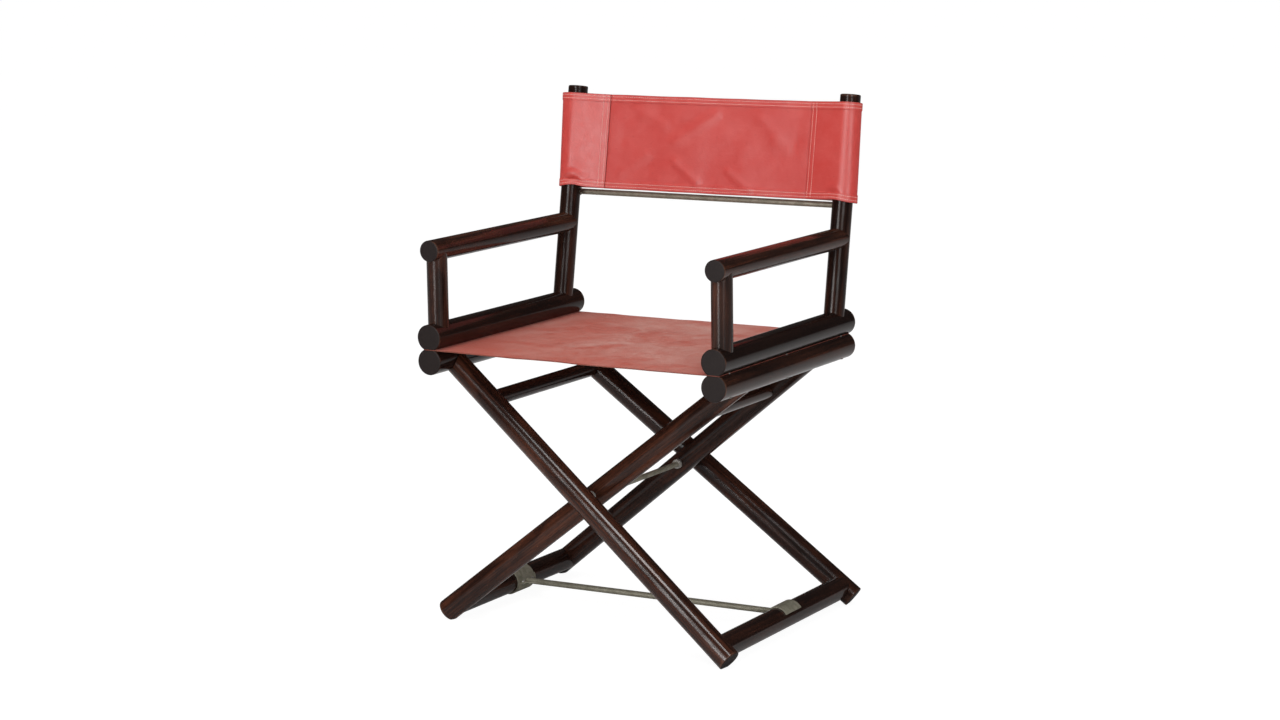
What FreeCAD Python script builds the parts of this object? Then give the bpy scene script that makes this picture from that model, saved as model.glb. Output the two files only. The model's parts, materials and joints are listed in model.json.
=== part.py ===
import FreeCAD, Part
import math
import os
from FreeCAD import Vector

os.makedirs("parts", exist_ok=True)

# ---------------------------------------------------------------- driving dimensions (mm)
# The chair faces -Y. Its left side is at -X, as seen by somebody who stands in front of it.

# side frames: two stacked seat rails, an arm and two posts each
RAIL_SPACING = 525.0          # between the axes of the left and right rails
RAIL_LENGTH = 446.0
RAIL_DIAMETER = 43.5
RAIL_FLAT = 3.2               # planed off each rail on the side that clamps the seat
LOWER_RAIL_HEIGHT = 442.5     # axis above the floor
ARM_RISE = 179.5              # arm axis above the lower rail axis
ARM_START = 7.0               # front end of the arm behind the front end of the rails
ARM_DIAMETER = 35.0
FRONT_POST_SETBACK = 30.0     # post axis behind the front end of the rails
BACK_POST_SETBACK = 407.0     # the same for the back post, at the upper rail axis
POST_DIAMETER = 34.0
POST_LENGTH = 378.0           # back post, from the upper rail axis to its top
BACK_LEAN = 9.9               # degrees

# crossed leg frames
LEG_DIAMETER = 38.0
LEG_TOP_MIDDLE = 219.0        # between front and rear legs, behind the rails' front end
LEG_FOOT_MIDDLE = 232.0       # the same at the feet
FOOT_SPREAD = 558.5           # between the centres of the foot ends, left to right
FOOT_FLAT = 3.0               # depth that the floor flat takes off the cut end's lower corner
OUTER_TOP_GAUGE = 312.5       # between the outer legs' axes, front to back, at the rail
OUTER_FOOT_GAUGE = 434.0
INNER_TOP_GAUGE = 218.0
INNER_FOOT_GAUGE = 347.0
FOOT_ROUNDING = 2.0           # round on the cut end's edge
LOW_STRETCHER_DIAMETER = 38.0
HIGH_STRETCHER_DIAMETER = 26.0
LOW_STRETCHER_AT = 0.962      # share of the leg's length, down from the rail axis
HIGH_STRETCHER_AT = 0.148
FOLDED_HALF_ANGLE = 5.0       # of each leg from upright when the chair is shut

# leather
LEATHER = 2.0
SEAT_SAG = 2.0
SEAT_MARGIN = 0.5             # of the seat's edges inside the ends of the rails
BACK_BOTTOM = 203.0           # along the back post, from the upper rail axis
BACK_TOP = 365.0
SEAM_REACH = 72.0             # of the sleeve's seam from the post's axis

# steel parts
HINGE_ROD_DIAMETER = 8.0
AXLE_DIAMETER = 9.0
BRACE_ROD_DIAMETER = 10.0
BRACE_OFFSET = 4.0            # of the foot brace behind the middle of the feet
BRACE_PLATE_WIDTH = 50.0
PLATE = 2.2
SPREADER_HEIGHT = 197.0       # along the back post, from the upper rail axis
SPREADER_OFFSET = 25.0        # of its axis behind the post's axis

# fits
RUNNING_FIT = 0.05            # radial, on every pin that turns
CLEARANCE = 0.4               # between curved faces of different bodies

# ---------------------------------------------------------------- derived places
RAIL_X = RAIL_SPACING / 2
RAIL_RADIUS = RAIL_DIAMETER / 2
ARM_RADIUS = ARM_DIAMETER / 2
POST_RADIUS = POST_DIAMETER / 2
LEG_RADIUS = LEG_DIAMETER / 2
FOOT_X = FOOT_SPREAD / 2
SEAT_HEIGHT = LOWER_RAIL_HEIGHT + RAIL_RADIUS - RAIL_FLAT + LEATHER / 2
UPPER_RAIL_HEIGHT = 2 * SEAT_HEIGHT - LOWER_RAIL_HEIGHT
ARM_HEIGHT = LOWER_RAIL_HEIGHT + ARM_RISE
BRACE_Y = LEG_FOOT_MIDDLE + BRACE_OFFSET


def foot_height():
    """Height of a foot's end centre, so that the flat takes FOOT_FLAT off its corner."""
    height = 0.0
    for _ in range(20):
        run = RAIL_X + FOOT_X
        drop = LOWER_RAIL_HEIGHT - height
        splay = (OUTER_FOOT_GAUGE - OUTER_TOP_GAUGE) / 2
        level = math.hypot(run, splay) / math.sqrt(run ** 2 + splay ** 2 + drop ** 2)
        height = LEG_RADIUS * level - FOOT_FLAT
    return height


FOOT_HEIGHT = foot_height()
LEG_RUN = RAIL_X + FOOT_X
LEG_DROP = LOWER_RAIL_HEIGHT - FOOT_HEIGHT
LEG_REACH = math.hypot(LEG_RUN, LEG_DROP)
LEG_PITCH = math.degrees(math.atan2(LEG_DROP, LEG_RUN))
PIVOT_AT = RAIL_X / LEG_RUN
PIVOT_HEIGHT = LOWER_RAIL_HEIGHT - PIVOT_AT * LEG_DROP
FOLD_TRAVEL = 2 * (90 - LEG_PITCH - FOLDED_HALF_ANGLE)

X_AXIS = Vector(1, 0, 0)
Y_AXIS = Vector(0, 1, 0)
Z_AXIS = Vector(0, 0, 1)

nodes = {}


# ---------------------------------------------------------------- helpers
def rod(start, end, radius):
    """A round bar between two points."""
    run = end - start
    return Part.makeCylinder(radius, run.Length, start, run)


def bar_y(x, z, y_start, y_end, radius):
    """A round bar along Y."""
    return rod(Vector(x, y_start, z), Vector(x, y_end, z), radius)


def soften(shape, size, near):
    """Round the circular edges whose centre is at one of the given points."""
    edges = []
    for edge in shape.Edges:
        if isinstance(edge.Curve, Part.Circle) and len(edge.Vertexes) == 1:
            if any((edge.Curve.Center - point).Length < 0.01 for point in near):
                edges.append(edge)
    return shape.makeFillet(size, edges)


def prism(points, normal):
    """Extrude a closed polygon along a vector."""
    return Part.Face(Part.makePolygon(points + points[:1])).extrude(normal)


def ring_sector(centre, inner, outer, start, end, width):
    """A curved plate around Y. Angles in degrees, from +X towards +Z."""
    def at(radius, angle):
        turn = math.radians(angle)
        return centre + Vector(radius * math.cos(turn), 0, radius * math.sin(turn))
    middle = (start + end) / 2
    edges = [
        Part.Arc(at(outer, start), at(outer, middle), at(outer, end)).toShape(),
        Part.LineSegment(at(outer, end), at(inner, end)).toShape(),
        Part.Arc(at(inner, end), at(inner, middle), at(inner, start)).toShape(),
        Part.LineSegment(at(inner, start), at(outer, start)).toShape(),
    ]
    plate = Part.Face(Part.Wire(edges)).extrude(Vector(0, width, 0))
    return plate.translated(Vector(0, -width / 2, 0))


def lean(shape):
    """Carry a shape from the back's own upright frame to its leaning place."""
    turned = shape.rotated(Vector(0, 0, 0), X_AXIS, -BACK_LEAN)
    return turned.translated(Vector(0, BACK_POST_SETBACK, UPPER_RAIL_HEIGHT))


def lean_point(x, offset, height):
    """A point given across, behind and along the back posts."""
    turn = math.radians(BACK_LEAN)
    y = BACK_POST_SETBACK + height * math.sin(turn) + offset * math.cos(turn)
    z = UPPER_RAIL_HEIGHT + height * math.cos(turn) - offset * math.sin(turn)
    return Vector(x, y, z)


def countersunk_screw(head, direction, length, shank=2.25, top=4.5):
    """A screw with its flat head at a point, driven along a direction."""
    cone = Part.makeCone(top, shank, top - shank, head, direction)
    return cone.fuse(Part.makeCylinder(shank, length, head, direction)).removeSplitter()


def group(shapes):
    return Part.makeCompound(shapes)


# ---------------------------------------------------------------- crossed leg frames
def gauge_at(kind, share):
    """Half the distance between a frame's two legs, at a share of their length."""
    top, foot = {
        "outer": (OUTER_TOP_GAUGE, OUTER_FOOT_GAUGE),
        "inner": (INNER_TOP_GAUGE, INNER_FOOT_GAUGE),
    }[kind]
    return (top + share * (foot - top)) / 2


def middle_at(share):
    """Where a frame's two legs have their middle, front to back, at a share of their length."""
    return LEG_TOP_MIDDLE + share * (LEG_FOOT_MIDDLE - LEG_TOP_MIDDLE)


def leg_point(kind, end, share):
    """A point on a leg's axis. The outer legs run down to +X and the inner ones to -X."""
    lean_to = 1 if kind == "outer" else -1
    depth = -1 if end == "front" else 1
    x = lean_to * (share * LEG_RUN - RAIL_X)
    z = LOWER_RAIL_HEIGHT - share * LEG_DROP
    return Vector(x, middle_at(share) + depth * gauge_at(kind, share), z)


def leg_envelope(kind, end):
    return rod(leg_point(kind, end, 0), leg_point(kind, end, 1), LEG_RADIUS)


TONGUE_WIDTH = 14.0
TONGUE_HEIGHT = 22.0
TONGUE_REACH = 30.0


def leg_tongue(kind, end):
    """The flat tongue on a leg's top, which turns on the hinge rod in the lower rail."""
    root = leg_point(kind, end, 0)
    lean_to = 1 if kind == "outer" else -1
    blade = Part.makeBox(TONGUE_REACH, TONGUE_WIDTH, TONGUE_HEIGHT)
    blade.translate(Vector(0, -TONGUE_WIDTH / 2, -TONGUE_HEIGHT / 2))
    blade.rotate(Vector(0, 0, 0), Y_AXIS, LEG_PITCH if lean_to > 0 else 180 - LEG_PITCH)
    blade.translate(root)
    nose = bar_y(root.x, root.z, root.y - TONGUE_WIDTH / 2, root.y + TONGUE_WIDTH / 2,
                 TONGUE_HEIGHT / 2)
    return blade.fuse(nose).removeSplitter()


LOW_TENON_RADIUS = 10.0
HIGH_TENON_RADIUS = 7.0
TENON_PAST_AXIS = 8.0
STRETCHERS = {
    "bottom": (LOW_STRETCHER_AT, LOW_STRETCHER_DIAMETER / 2, LOW_TENON_RADIUS),
    "top": (HIGH_STRETCHER_AT, HIGH_STRETCHER_DIAMETER / 2, HIGH_TENON_RADIUS),
}


def stretcher_bar(kind, level, radius, past):
    """A bar along a stretcher's axis, from leg axis to leg axis and a little past them."""
    share = STRETCHERS[level][0]
    front = leg_point(kind, "front", share)
    rear = leg_point(kind, "rear", share)
    return bar_y(front.x, front.z, front.y - past, rear.y + past, radius)


def stretcher(kind, level):
    """A stretcher coped to both legs, with a round tenon at each end."""
    _, radius, tenon = STRETCHERS[level]
    bar = stretcher_bar(kind, level, radius, 0)
    for end in ("front", "rear"):
        bar = bar.cut(leg_envelope(kind, end))
    return bar.fuse(stretcher_bar(kind, level, tenon, TENON_PAST_AXIS)).removeSplitter()


BUSH_RADIUS = 6.5
SPACER_RADIUS = 9.0
SPOT_FACE_DEPTH = 1.5
AXLE_PAST_AXIS = 10.0
AXLE_MIDDLE = middle_at(PIVOT_AT)


def axle_bar(radius, y_start, y_end):
    return bar_y(0, PIVOT_HEIGHT, y_start, y_end, radius)


def spot_face(kind, depth, side):
    """The flat sunk into a leg's side (+1 rear, -1 front), for a spacer or a collar."""
    y_axis = AXLE_MIDDLE + depth * gauge_at(kind, PIVOT_AT)
    inner = y_axis + side * (LEG_RADIUS - SPOT_FACE_DEPTH)
    return axle_bar(SPACER_RADIUS + 1, inner, inner + side * 2 * SPOT_FACE_DEPTH)


def leg(kind, end):
    """One leg: coped under the rail, tongued, bored, spot-faced and cut level at the foot."""
    depth = -1 if end == "front" else 1
    root = leg_point(kind, end, 0)
    body = soften(leg_envelope(kind, end), FOOT_ROUNDING, [leg_point(kind, end, 1)])
    rail_room = bar_y(root.x, root.z, root.y - 60, root.y + 60, RAIL_RADIUS + CLEARANCE)
    body = body.cut(rail_room).fuse(leg_tongue(kind, end))
    hinge_hole = HINGE_ROD_DIAMETER / 2 + RUNNING_FIT
    body = body.cut(bar_y(root.x, root.z, root.y - 40, root.y + 40, hinge_hole))
    for level in STRETCHERS:
        tenon = STRETCHERS[level][2]
        body = body.cut(stretcher_bar(kind, level, tenon, TENON_PAST_AXIS))
    axle_y = AXLE_MIDDLE + depth * gauge_at(kind, PIVOT_AT)
    if kind == "outer":
        body = body.cut(axle_bar(AXLE_DIAMETER / 2, AXLE_MIDDLE, axle_y + depth * AXLE_PAST_AXIS))
        body = body.cut(spot_face(kind, depth, -depth))
    else:
        body = body.cut(axle_bar(BUSH_RADIUS, axle_y - LEG_DIAMETER, axle_y + LEG_DIAMETER))
        body = body.cut(spot_face(kind, depth, depth)).cut(spot_face(kind, depth, -depth))
    floor = Part.makeBox(4 * FOOT_X, 4 * RAIL_LENGTH, 60, Vector(-2 * FOOT_X, -RAIL_LENGTH, -60))
    return body.cut(floor)


for kind in ("outer", "inner"):
    for end in ("front", "rear"):
        nodes[f"{kind}_{end}_leg"] = leg(kind, end)
    for level in STRETCHERS:
        nodes[f"{kind}_{level}_stretcher"] = stretcher(kind, level)

# the axle is fixed in the outer legs, and the inner legs turn on it in bronze bushes
OUTER_AXLE_GAUGE = gauge_at("outer", PIVOT_AT)
INNER_AXLE_GAUGE = gauge_at("inner", PIVOT_AT)
COLLAR_WIDTH = 6.0
nodes["pivot_axle"] = axle_bar(
    AXLE_DIAMETER / 2,
    AXLE_MIDDLE - OUTER_AXLE_GAUGE - AXLE_PAST_AXIS,
    AXLE_MIDDLE + OUTER_AXLE_GAUGE + AXLE_PAST_AXIS,
)


def sleeve_on_axle(y_one, y_two, radius, bore):
    low, high = sorted((y_one, y_two))
    return axle_bar(radius, low, high).cut(axle_bar(bore, low - 1, high + 1))


spacers = []
collars = []
bushes = []
for depth in (-1, 1):
    flat_outer = AXLE_MIDDLE + depth * (OUTER_AXLE_GAUGE - LEG_RADIUS + SPOT_FACE_DEPTH)
    flat_inner = AXLE_MIDDLE + depth * (INNER_AXLE_GAUGE + LEG_RADIUS - SPOT_FACE_DEPTH)
    flat_middle = AXLE_MIDDLE + depth * (INNER_AXLE_GAUGE - LEG_RADIUS + SPOT_FACE_DEPTH)
    bore = AXLE_DIAMETER / 2
    spacers.append(sleeve_on_axle(flat_outer, flat_inner + depth * CLEARANCE, SPACER_RADIUS, bore))
    collar_face = flat_middle - depth * CLEARANCE
    collars.append(sleeve_on_axle(collar_face, collar_face - depth * COLLAR_WIDTH,
                                  SPACER_RADIUS - 1, bore))
    bushes.append(sleeve_on_axle(flat_inner, flat_middle, BUSH_RADIUS, bore + RUNNING_FIT))
nodes["axle_spacers"] = group(spacers)
nodes["axle_collars"] = group(collars)
nodes["axle_bushes"] = group(bushes)


# ---------------------------------------------------------------- side frames
SLOT_MARGIN = 3.0             # degrees, past both ends of the leg's swing in the rail
SLOT_REACH = 40.0
PLUG_RADIUS = 7.0
PLUG_DEPTH = 8.0
ROD_SETBACK = 24.0            # of the hinge rod's blind front end from the rail's end
TENON_RADIUS = 10.0
TENON_DEPTH = 16.0
ARM_TENON_RADIUS = 8.0
CLAMP_SCREW_OFFSET = 8.5      # the clamping screws pass outside the hinge rod
CLAMP_SCREWS = (34.0, RAIL_LENGTH / 2, RAIL_LENGTH - 30.0)
COUNTERBORE_RADIUS = 4.9
CLAMP_BITE = 14.0             # of a clamping screw above the seat, in the upper rail
SIDES = {"left": -1, "right": 1}


def rail(x, height):
    """A round rail with softened ends, planed flat on the side that clamps the seat."""
    front = Vector(x, 0, height)
    rear = Vector(x, RAIL_LENGTH, height)
    bar = soften(rod(front, rear, RAIL_RADIUS), 1.8, [front, rear])
    planed = RAIL_FLAT + LEATHER / 2
    low = SEAT_HEIGHT - LEATHER / 2 if height < SEAT_HEIGHT else SEAT_HEIGHT - RAIL_FLAT
    return bar.cut(Part.makeBox(RAIL_DIAMETER, RAIL_LENGTH, planed,
                                Vector(x - RAIL_RADIUS, 0, low)))


def tongue_slot(side, y):
    """The slot under a lower rail that a leg's tongue swings in."""
    inward = -side
    half = TONGUE_HEIGHT / 2 + CLEARANCE
    width = TONGUE_WIDTH + 2 * CLEARANCE
    shallow = math.radians(LEG_PITCH - SLOT_MARGIN)
    steep = math.radians(90 - FOLDED_HALF_ANGLE + SLOT_MARGIN)
    along = [Vector(inward * math.cos(a), 0, -math.sin(a)) for a in (shallow, steep)]
    up = Vector(inward * math.sin(shallow), 0, math.cos(shallow))
    down = Vector(-inward * math.sin(steep), 0, -math.cos(steep))
    centre = Vector(side * RAIL_X, y - width / 2, LOWER_RAIL_HEIGHT)
    corners = [
        centre + up * half,
        centre + up * half + along[0] * SLOT_REACH,
        centre + down * half + along[1] * SLOT_REACH,
        centre + down * half,
    ]
    wedge = prism(corners, Vector(0, width, 0))
    return wedge.fuse(bar_y(centre.x, centre.z, centre.y, centre.y + width, half))


def clamp_screw_head(side, y):
    """Place of a clamping screw's head, just under the lower rail's skin."""
    depth = math.sqrt(RAIL_RADIUS ** 2 - CLAMP_SCREW_OFFSET ** 2) - 1.5
    return Vector(side * (RAIL_X + CLAMP_SCREW_OFFSET), y, LOWER_RAIL_HEIGHT - depth)


def clamp_screws(side):
    length = SEAT_HEIGHT + CLAMP_BITE - clamp_screw_head(side, 0).z
    return [countersunk_screw(clamp_screw_head(side, y), Z_AXIS, length) for y in CLAMP_SCREWS]


def clamp_bored(body, side):
    """A clamped piece with the clamping screws' holes and the counterbores under their heads."""
    for y, screw in zip(CLAMP_SCREWS, clamp_screws(side)):
        counterbore = Part.makeCylinder(COUNTERBORE_RADIUS, 12,
                                        clamp_screw_head(side, y) - Z_AXIS * 12)
        body = body.cut(counterbore).cut(screw)
    return body


def front_post(x):
    """The upright under the arm's front end, tenoned into the upper rail and the arm."""
    y = FRONT_POST_SETBACK
    shank = rod(Vector(x, y, UPPER_RAIL_HEIGHT), Vector(x, y, ARM_HEIGHT), POST_RADIUS)
    shank = shank.cut(bar_y(x, UPPER_RAIL_HEIGHT, -50, RAIL_LENGTH, RAIL_RADIUS))
    shank = shank.cut(bar_y(x, ARM_HEIGHT, -50, RAIL_LENGTH, ARM_RADIUS))
    return shank.fuse(front_post_tenon(x)).removeSplitter()


def front_post_tenon(x):
    low = UPPER_RAIL_HEIGHT + RAIL_RADIUS - TENON_DEPTH
    high = ARM_HEIGHT - ARM_RADIUS + TENON_DEPTH
    return Part.makeCylinder(TENON_RADIUS, high - low, Vector(x, FRONT_POST_SETBACK, low))


def back_post_tenon(x):
    low = RAIL_RADIUS - TENON_DEPTH
    return lean(rod(Vector(x, 0, low), Vector(x, 0, RAIL_DIAMETER), TENON_RADIUS))


def back_post(x):
    """The long leaning post, through the sleeve of the back."""
    top = Vector(x, 0, POST_LENGTH)
    post = lean(soften(rod(Vector(x, 0, 0), top, POST_RADIUS), 2.0, [top]))
    post = post.cut(bar_y(x, UPPER_RAIL_HEIGHT, -50, RAIL_LENGTH + 50, RAIL_RADIUS))
    return post.fuse(back_post_tenon(x)).cut(arm_tenon(x)).removeSplitter()


def arm_tenon(x):
    """The round tenon that joins the arm to the back post, level with the arm."""
    y = lean_point(x, 0, (ARM_HEIGHT - UPPER_RAIL_HEIGHT) / math.cos(math.radians(BACK_LEAN))).y
    return bar_y(x, ARM_HEIGHT, y - POST_DIAMETER, y + 6, ARM_TENON_RADIUS)


def arm(x):
    """The arm rail: a flat cap in front, coped to the back post behind."""
    front = Vector(x, ARM_START, ARM_HEIGHT)
    tenon = arm_tenon(x)
    rear = Vector(x, tenon.BoundBox.YMax - 6, ARM_HEIGHT)
    bar = soften(rod(front, rear, ARM_RADIUS), 1.8, [front])
    post_room = lean(rod(Vector(x, 0, 0), Vector(x, 0, POST_LENGTH), POST_RADIUS))
    bar = bar.cut(post_room)
    bar = max(bar.Solids, key=lambda solid: solid.Volume)
    return bar.fuse(tenon).cut(front_post_tenon(x)).removeSplitter()


def lower_rail(name):
    """Made as the left rail, with the slots of its own legs, and mirrored for the right."""
    left = SIDES["left"]
    kind = "outer" if name == "left" else "inner"
    body = rail(left * RAIL_X, LOWER_RAIL_HEIGHT)
    for end in ("front", "rear"):
        body = body.cut(tongue_slot(left, leg_point(kind, end, 0).y))
    body = body.cut(hinge_rod(left * RAIL_X)).cut(rail_plug(left * RAIL_X))
    body = clamp_bored(body, left)
    return body if name == "left" else body.mirror(Vector(0, 0, 0), X_AXIS)


def hinge_rod(x):
    return bar_y(x, LOWER_RAIL_HEIGHT, ROD_SETBACK, RAIL_LENGTH - PLUG_DEPTH,
                 HINGE_ROD_DIAMETER / 2)


def rail_plug(x):
    """The wooden plug that closes the hinge rod's bore at the rear."""
    return bar_y(x, LOWER_RAIL_HEIGHT, RAIL_LENGTH - PLUG_DEPTH, RAIL_LENGTH, PLUG_RADIUS)


def upper_rail(name):
    x = SIDES[name] * RAIL_X
    body = rail(x, UPPER_RAIL_HEIGHT)
    body = body.cut(front_post_tenon(x)).cut(back_post_tenon(x))
    return clamp_bored(body, SIDES[name])


# ---------------------------------------------------------------- leather
EDGE_INSET = 14.0             # the seat bends from this far inside a rail's axis
EDGE_OUTSET = 10.0            # and its clamped edge ends this far outside it
SLEEVE_HOLD = 26.0            # the sleeve stays round the post up to this far from its axis
SLEEVE_ROOM = 0.5             # between the post and the leather round it
SEAM_LAP = 5.0                # of the flat sheet inside the seam


def seat_edge(side):
    """The strip of the seat that the two rails clamp."""
    inner = side * (RAIL_X - EDGE_INSET)
    outer = side * (RAIL_X + EDGE_OUTSET)
    sheet = LEATHER - 0.1
    strip = Part.makeBox(abs(outer - inner), RAIL_LENGTH - 2 * SEAT_MARGIN, sheet,
                         Vector(min(inner, outer), SEAT_MARGIN, SEAT_HEIGHT - sheet / 2))
    return clamp_bored(strip, side)


def seat_sling():
    """The free part of the seat, with a shallow sag across the chair."""
    edge = RAIL_X - EDGE_INSET
    low = SEAT_HEIGHT - LEATHER / 2
    high = SEAT_HEIGHT + LEATHER / 2
    edges = [
        Part.Arc(Vector(-edge, 0, low), Vector(0, 0, low - SEAT_SAG), Vector(edge, 0, low)).toShape(),
        Part.LineSegment(Vector(edge, 0, low), Vector(edge, 0, high)).toShape(),
        Part.Arc(Vector(edge, 0, high), Vector(0, 0, high - SEAT_SAG),
                 Vector(-edge, 0, high)).toShape(),
        Part.LineSegment(Vector(-edge, 0, high), Vector(-edge, 0, low)).toShape(),
    ]
    sheet = Part.Face(Part.Wire(edges)).extrude(Vector(0, RAIL_LENGTH - 2 * SEAT_MARGIN, 0))
    return sheet.translated(Vector(0, SEAT_MARGIN, 0))


SLEEVE_INNER = POST_RADIUS + SLEEVE_ROOM
SLEEVE_OUTER = SLEEVE_INNER + LEATHER


def teardrop(side, radius, reach):
    """Section round a post, drawn in to a seam beside it, as a solid of the back's height."""
    centre = Vector(side * RAIL_X, 0, 0)
    turn = math.acos(radius / reach)
    inward = -side * radius * math.cos(turn)
    front = centre + Vector(inward, -radius * math.sin(turn), 0)
    rear = centre + Vector(inward, radius * math.sin(turn), 0)
    tip = centre + Vector(-side * reach, 0, 0)
    wedge = Part.Face(Part.makePolygon([centre, front, tip, rear, centre]))
    disc = Part.Face(Part.Wire(Part.makeCircle(radius, centre)))
    height = Vector(0, 0, BACK_TOP - BACK_BOTTOM)
    solid = wedge.extrude(height).fuse(disc.extrude(height)).removeSplitter()
    return solid.translated(Vector(0, 0, BACK_BOTTOM))


def sleeve_wall(side):
    outer = teardrop(side, SLEEVE_OUTER, SEAM_REACH)
    return outer.cut(teardrop(side, SLEEVE_INNER, SEAM_REACH * SLEEVE_INNER / SLEEVE_OUTER))


def back_window():
    """The space between the two posts that the free part of the back fills."""
    half = RAIL_X - SLEEVE_HOLD
    return Part.makeBox(2 * half, 4 * SLEEVE_OUTER, BACK_TOP - BACK_BOTTOM,
                        Vector(-half, -2 * SLEEVE_OUTER, BACK_BOTTOM))


def back_sleeve(side):
    """The part of the back that wraps one post."""
    return lean(sleeve_wall(side).cut(back_window()))


def back_panel():
    """The back between the posts: a flat sheet level with their axes, between the two seams."""
    half = RAIL_X - SEAM_REACH + SEAM_LAP
    sheet = Part.makeBox(2 * half, LEATHER, BACK_TOP - BACK_BOTTOM,
                         Vector(-half, -LEATHER / 2, BACK_BOTTOM))
    for side in SIDES.values():
        sheet = sheet.fuse(sleeve_wall(side).common(back_window()))
    return lean(sheet.removeSplitter())


# ---------------------------------------------------------------- spreader behind the back posts
SPREADER_RADIUS = BRACE_ROD_DIAMETER / 2
EYE_RADIUS = 8.0
EYE_THICKNESS = 4.0
PIVOT_SHANK_RADIUS = 3.0
STUD_X = RAIL_X - 10.0        # the stud sits towards the post's inner side
STUD_DROP = SPREADER_RADIUS + PIVOT_SHANK_RADIUS + CLEARANCE
HOOK_DEPTH = 16.0
SCREW_IN_POST = 8.0           # the screws' tips, past the post's axis


def back_rod(x, start, end, height, radius):
    """A round bar square to the back posts, between two offsets behind their axes."""
    return lean(rod(Vector(x, start, height), Vector(x, end, height), radius))


def spreader_pivot():
    """Shoulder screw in the left post that carries the spreader's eye."""
    eye_front = SPREADER_OFFSET - EYE_THICKNESS / 2
    eye_back = SPREADER_OFFSET + EYE_THICKNESS / 2
    x = -RAIL_X
    collar = back_rod(x, POST_RADIUS, eye_front - CLEARANCE, SPREADER_HEIGHT, 5.5)
    collar = collar.cut(lean(rod(Vector(x, 0, 0), Vector(x, 0, POST_LENGTH), POST_RADIUS)))
    shank = back_rod(x, -SCREW_IN_POST, eye_back + CLEARANCE, SPREADER_HEIGHT, PIVOT_SHANK_RADIUS)
    head = back_rod(x, eye_back + CLEARANCE, eye_back + CLEARANCE + 3, SPREADER_HEIGHT, 6.0)
    return collar.fuse([shank, head]).removeSplitter()


def spreader_stud():
    """Headed stud in the right post that the spreader's hook drops over."""
    height = SPREADER_HEIGHT - STUD_DROP
    tip = SPREADER_OFFSET + SPREADER_RADIUS + CLEARANCE
    shank = back_rod(STUD_X, -SCREW_IN_POST, tip, height, PIVOT_SHANK_RADIUS)
    return shank.fuse(back_rod(STUD_X, tip, tip + 2.5, height, 5.5)).removeSplitter()


def spreader():
    """Round bar with a flat eye at its left end and a turned-down hook at its right end."""
    hook_x = STUD_X + PIVOT_SHANK_RADIUS + CLEARANCE + SPREADER_RADIUS
    bend = Vector(hook_x, SPREADER_OFFSET, SPREADER_HEIGHT)
    start = Vector(-RAIL_X + EYE_RADIUS - 2, SPREADER_OFFSET, SPREADER_HEIGHT)
    bar = rod(start, bend, SPREADER_RADIUS)
    bar = bar.fuse(Part.makeSphere(SPREADER_RADIUS, bend))
    tip = soften(rod(bend, bend - Z_AXIS * HOOK_DEPTH, SPREADER_RADIUS), 1.2,
                 [bend - Z_AXIS * HOOK_DEPTH])
    bar = bar.fuse(tip)
    front = SPREADER_OFFSET - EYE_THICKNESS / 2
    eye = rod(Vector(-RAIL_X, front, SPREADER_HEIGHT),
              Vector(-RAIL_X, front + EYE_THICKNESS, SPREADER_HEIGHT), EYE_RADIUS)
    neck_room = rod(Vector(-RAIL_X, 0, SPREADER_HEIGHT),
                    Vector(-RAIL_X, 60, SPREADER_HEIGHT), EYE_RADIUS)
    hole = rod(Vector(-RAIL_X, 0, SPREADER_HEIGHT), Vector(-RAIL_X, 60, SPREADER_HEIGHT),
               PIVOT_SHANK_RADIUS + RUNNING_FIT)
    return lean(bar.cut(neck_room).fuse(eye).cut(hole).removeSplitter())


for name, side in SIDES.items():
    x = side * RAIL_X
    nodes[f"{name}_lower_rail"] = lower_rail(name)
    nodes[f"{name}_upper_rail"] = upper_rail(name)
    nodes[f"{name}_arm"] = arm(x)
    nodes[f"{name}_front_post"] = front_post(x)
    nodes[f"{name}_hinge_rod"] = hinge_rod(x)
    nodes[f"{name}_rail_plug"] = rail_plug(x)
    nodes[f"{name}_clamp_screws"] = group(clamp_screws(side))
    nodes[f"{name}_seat_edge"] = seat_edge(side)
    nodes[f"{name}_back_sleeve"] = back_sleeve(side)
nodes["spreader_pivot"] = spreader_pivot()
nodes["spreader_stud"] = spreader_stud()
nodes["spreader_bar"] = spreader()
nodes["left_back_post"] = back_post(-RAIL_X).cut(nodes["spreader_pivot"])
nodes["right_back_post"] = back_post(RAIL_X).cut(nodes["spreader_stud"])
nodes["seat_sling"] = seat_sling()
nodes["back_panel"] = back_panel()


# ---------------------------------------------------------------- foot brace
STRETCHER_RADIUS = LOW_STRETCHER_DIAMETER / 2
WRAP_CENTRE = Vector(leg_point("inner", "front", LOW_STRETCHER_AT).x, BRACE_Y,
                     leg_point("inner", "front", LOW_STRETCHER_AT).z)
SADDLE_CENTRE = Vector(-WRAP_CENTRE.x, BRACE_Y, WRAP_CENTRE.z)
PLATE_INNER = STRETCHER_RADIUS + CLEARANCE
PLATE_OUTER = PLATE_INNER + PLATE
SADDLE_RISE = 5.5             # of the rod's right end above the stretcher's axis
SADDLE_START = 30.0           # degrees
SADDLE_END = 166.0
FUNNEL_LENGTH = 34.0          # of the plate that tapers from a stretcher's side to the rod
FUNNEL_TIP = 6.5              # half its width at the rod
RIVET_SPACING = 28.0
RIVET_RADIUS = 2.0


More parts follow.
